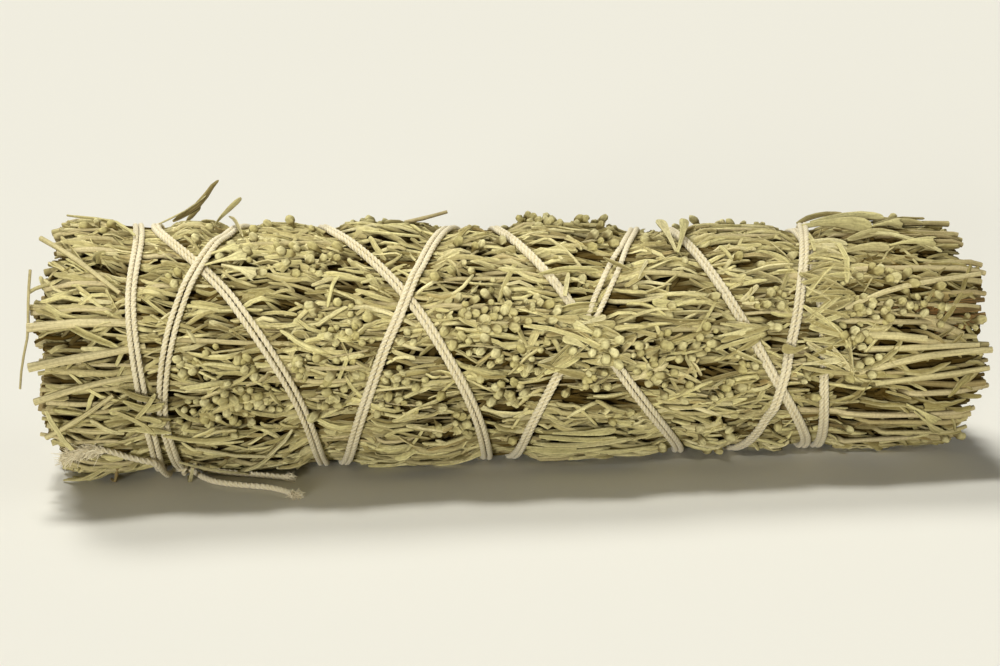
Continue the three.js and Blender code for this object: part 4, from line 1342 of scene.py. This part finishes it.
def add_leafy_stalk(sprig, rng, at, ends):
    """One stalk with its leaves in three layers; the deepest layer is of plain leaves with fewer faces."""
    deep = rng.uniform(3.6, 5.0) * MM
    xs, turned, _ = add_stalk(sprig, rng, "long", ends, (at, at + rng.normal(0, 1.5)), (deep, deep),
                              rng.uniform(0.9, 1.5) * MM, 0.5)
    count = int((ends[1] - ends[0]) / NODE_GAP)
    x = ends[0] + (np.arange(count) + rng.random(count)) * (ends[1] - ends[0]) / count
    foot_degrees = np.interp(x, xs, turned) + rng.normal(0, 1.6, count)
    layer = rng.choice(len(LAYERS), count, p=[share for share, _, _ in LAYERS])
    tip = np.array([LAYERS[i][1] for i in layer])
    foot = np.array([LAYERS[i][2] for i in layer])
    end_depth = rng.uniform(tip[:, 0], tip[:, 1]) * MM
    depth = end_depth + rng.uniform(foot[:, 0], foot[:, 1]) * MM
    names = [name for name in LEAF_KINDS if name != "under"]
    shares = np.array([LEAF_KINDS[name][0] for name in names])
    kinds = np.array(names)[rng.choice(len(names), count, p=shares / shares.sum())]
    kinds = np.where(layer == len(LAYERS) - 1, "under", kinds)
    keep = rng.random(count) < 1 - 0.3 * smooth((x / MM - 70) / 15)  # fewer at the narrow end
    for kind in LEAF_KINDS:
        chosen = (kinds == kind) & keep
        add_leaves(sprig, rng, kind, x[chosen], foot_degrees[chosen], depth[chosen],
                   end_depth[chosen], ends)


def add_bare_stalks(sprig, rng, degrees, ends):
    """Stalks near the outside: some anywhere, diving under at both ends, then some at each cut end."""
    for _ in range(SURFACE_STALKS):
        start = rng.uniform(ends[0] - 25 * MM, ends[1] - 20 * MM)
        stop = start + rng.uniform(25, 70) * MM
        dive = (3.2 * MM * (start > ends[0]), 3.2 * MM * (stop < ends[1]))
        at = degrees + rng.uniform(-SPRIG_HALF, SPRIG_HALF)
        depth = rng.uniform(0.1, 1.5) * MM
        add_stalk(sprig, rng, "surface", (max(start, ends[0]), min(stop, ends[1])),
                  (at, at + rng.normal(0, 5)), (depth, depth), rng.uniform(0.9, 1.6) * MM, 0.25, dive)
    for side, inwards in ((0, 1), (1, -1)):
        for _ in range(END_STALKS - side):
            at = degrees + rng.uniform(-SPRIG_HALF, SPRIG_HALF)
            depth = rng.uniform(-0.3, 1.2) * MM
            start = ends[side] - inwards * rng.uniform(-1.5, 1.0) * MM
            stop = start + inwards * rng.uniform(14, 32) * MM
            add_stalk(sprig, rng, "surface", (start, stop), (at, at + rng.normal(0, 4)),
                      (depth, depth + 0.4 * MM), rng.uniform(0.9, 1.7) * MM, 0.2 + 0.5 * side,
                      (0.0, 3.0 * MM))


def outer_sprig(node_name, degrees, seed):
    """Everything that one outer sprig holds, between its own cut ends."""
    rng = np.random.default_rng(seed)
    low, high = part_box(node_name)
    short = BACK_SHORT * smooth(abs(turned_from(degrees, FRONT_MIDDLE)) / 85)
    ends = (low.x + short, high.x - short - NARROW_SHORT)
    sprig = Handful()
    add_stalk(sprig, rng, "long", ends, (degrees + rng.normal(0, 2),) * 2, MAIN_STALK_DEPTH,
              rng.uniform(*MAIN_STALK_WIDTH) * MM, 0.7)
    for number in range(OUTER_STALKS):
        at = degrees + SPRIG_HALF * (2 * (number + 0.5) / OUTER_STALKS - 1) + rng.normal(0, 0.5)
        add_leafy_stalk(sprig, rng, at, ends)
    add_bare_stalks(sprig, rng, degrees, ends)
    in_view = math.cos(math.radians(degrees - 40)) > 0
    count = SMALL_BITS if in_view else SMALL_BITS // 2
    x = rng.uniform(ends[0], ends[1], count)
    at = degrees + rng.uniform(-SPRIG_HALF, SPRIG_HALF, count)
    depth = rng.uniform(0.5, 2.0, count) * MM
    tip_depth = rng.uniform(-0.5, 0.9, count) * MM
    add_leaves(sprig, rng, "rod", x, at, depth, tip_depth, ends, None, 0.5, 1.7)
    for piece in BY_HAND.get(node_name, []):
        lay_by_hand(sprig, rng, *piece)
    cover_twine(sprig, rng, degrees)
    if node_name == "sprig_outer_03":
        lay_by_hand(sprig, rng, "stalk", 0.7, 0.7, 0, 0.6, 0.1, None, HANGING_TWIG)
        lay_by_hand(sprig, rng, "stalk", 0.9, 0.7, 0, 0.9, 0.0, None, TWIG_TOP)
    apart = turned_from(bud_stalks[:, 1], degrees)
    for x, at in bud_stalks[np.abs(apart) <= SPRIG_HALF]:
        add_bud_stalk(sprig, rng, x, at, ends)
    add_end_leaves(sprig, rng, RING_EDGES[3], RING_EDGES[4] - 3 * MM, degrees, SPRIG_HALF, ends)
    return sprig


def finish_sprig(sprig, node_name):
    """The sprig as a piece that stands for its CAD node."""
    piece = sprig.make(node_name.replace("sprig", "sage"), SAGE, 65)
    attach(piece, "root")
    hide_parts(node_name)


for number in range(18):
    if number != 3:
        name = f"sprig_outer_{number + 1:02d}"
        finish_sprig(outer_sprig(name, 20 * number, 100 + number), name)

# ---------------------------------------------------------------- Old woody sprig
# One sprig is old wood. Its bare broken stems show in a gap between the leaves at the narrow end, which is
# the first of LARGE_HOLLOWS.
finish_sprig(outer_sprig("sprig_woody", 60, 103), "sprig_woody")

# ---------------------------------------------------------------- Sprigs inside
# Nineteen more sprigs fill the middle: one, a ring of six and a ring of twelve. They show only at the two
# ends, as cut stems and leaf ends.
INNER_STALKS = 4


def inner_sprig(node_name, ring, degrees, half, seed):
    """Cut stems right through the stick, and leaves only where the cut ends show them."""
    rng = np.random.default_rng(seed)
    low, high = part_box(node_name)
    ends = (low.x, high.x - NARROW_SHORT)
    sprig = Handful()
    inner, outer = RING_EDGES[ring], RING_EDGES[ring + 1]
    for _ in range(INNER_STALKS):
        reach = math.sqrt(rng.uniform(inner ** 2, outer ** 2))
        at = degrees + rng.uniform(-half, half)
        add_stalk(sprig, rng, "long", ends, (at, at), (WIDE_RADIUS - reach, WIDE_RADIUS - reach),
                  rng.uniform(1.3, 2.6) * MM, 0.7)
    add_end_leaves(sprig, rng, inner, outer, degrees, half, ends)
    return sprig


for ring, (ring_name, count) in enumerate((("core", 1), ("inner", 6), ("middle", 12))):
    for number in range(count):
        name = "sprig_core" if ring == 0 else f"sprig_{ring_name}_{number + 1:02d}"
        seed = 200 + 20 * ring + number
        finish_sprig(inner_sprig(name, ring, 360 / count * number, 180 / count, seed), name)

# ---------------------------------------------------------------- Table and light
# A plain pale table under soft light from above and behind, with a low fill from the camera's side and a
# weak one on the narrow end.
FLOOR_COLOUR = "#e9e6d9"
bpy.ops.mesh.primitive_plane_add(size=8)
floor = bpy.context.object
floor.name = "floor"
floor_material, _, surface = new_material("floor", 0.9)
surface.inputs["Base Color"].default_value = linear(FLOOR_COLOUR)
floor.data.materials.append(floor_material)


def soft_sun(name, azimuth, elevation, strength, softness):
    """Even light from one side of the sky. Softness is how many degrees of it the light fills."""
    source = way_to(azimuth, elevation)
    bpy.ops.object.light_add(type="SUN", rotation=source.to_track_quat("Z", "Y").to_euler())
    lamp = bpy.context.object
    lamp.name = name
    lamp.data.energy = strength
    lamp.data.angle = math.radians(softness)


soft_sun("light_above", 200, 72, 1.7, 10)
soft_sun("light_behind", 206, 48, 1.55, 16)
soft_sun("light_low", -23, 6, 1.8, 10)
soft_sun("light_narrow_end", 85, 16, 0.4, 20)

# Two narrow lamps in front, as high as the stick so that they light little of the table: one as long as the
# stick and one beside it that adds light on the wide end.
STRIP_AZIMUTH = -8  # towards the wide end
STRIP_ELEVATION = 42
STRIP_DISTANCE = 0.45
STRIP_HEIGHT = 0.042
STICK_MIDDLE = 0.0275


def strip_lamp(name, middle, length, energy):
    """A lamp that reaches the length given along the stick, centred on its middle in metres."""
    aim = Vector((middle, 0, STICK_MIDDLE))
    towards = way_to(STRIP_AZIMUTH, STRIP_ELEVATION)
    bpy.ops.object.light_add(
        type="AREA", location=aim + towards * STRIP_DISTANCE,
        rotation=towards.to_track_quat("Z", "Y").to_euler()
    )
    lamp = bpy.context.object
    lamp.name = name
    lamp.data.shape = "RECTANGLE"
    lamp.data.size = length
    lamp.data.size_y = STRIP_HEIGHT
    lamp.data.spread = math.radians(3)
    lamp.data.energy = energy


strip_lamp("light_front", -0.008, 0.2, 0.0084)
strip_lamp("light_wide_end", -0.038, 0.126, 0.0026)

world = bpy.data.worlds.new("world")
bpy.context.scene.world = world
world.use_nodes = True
background = world.node_tree.nodes["Background"]
background.inputs["Color"].default_value = linear(FLOOR_COLOUR)
background.inputs["Strength"].default_value = 0.13
bpy.context.scene.view_settings.view_transform = "Standard"
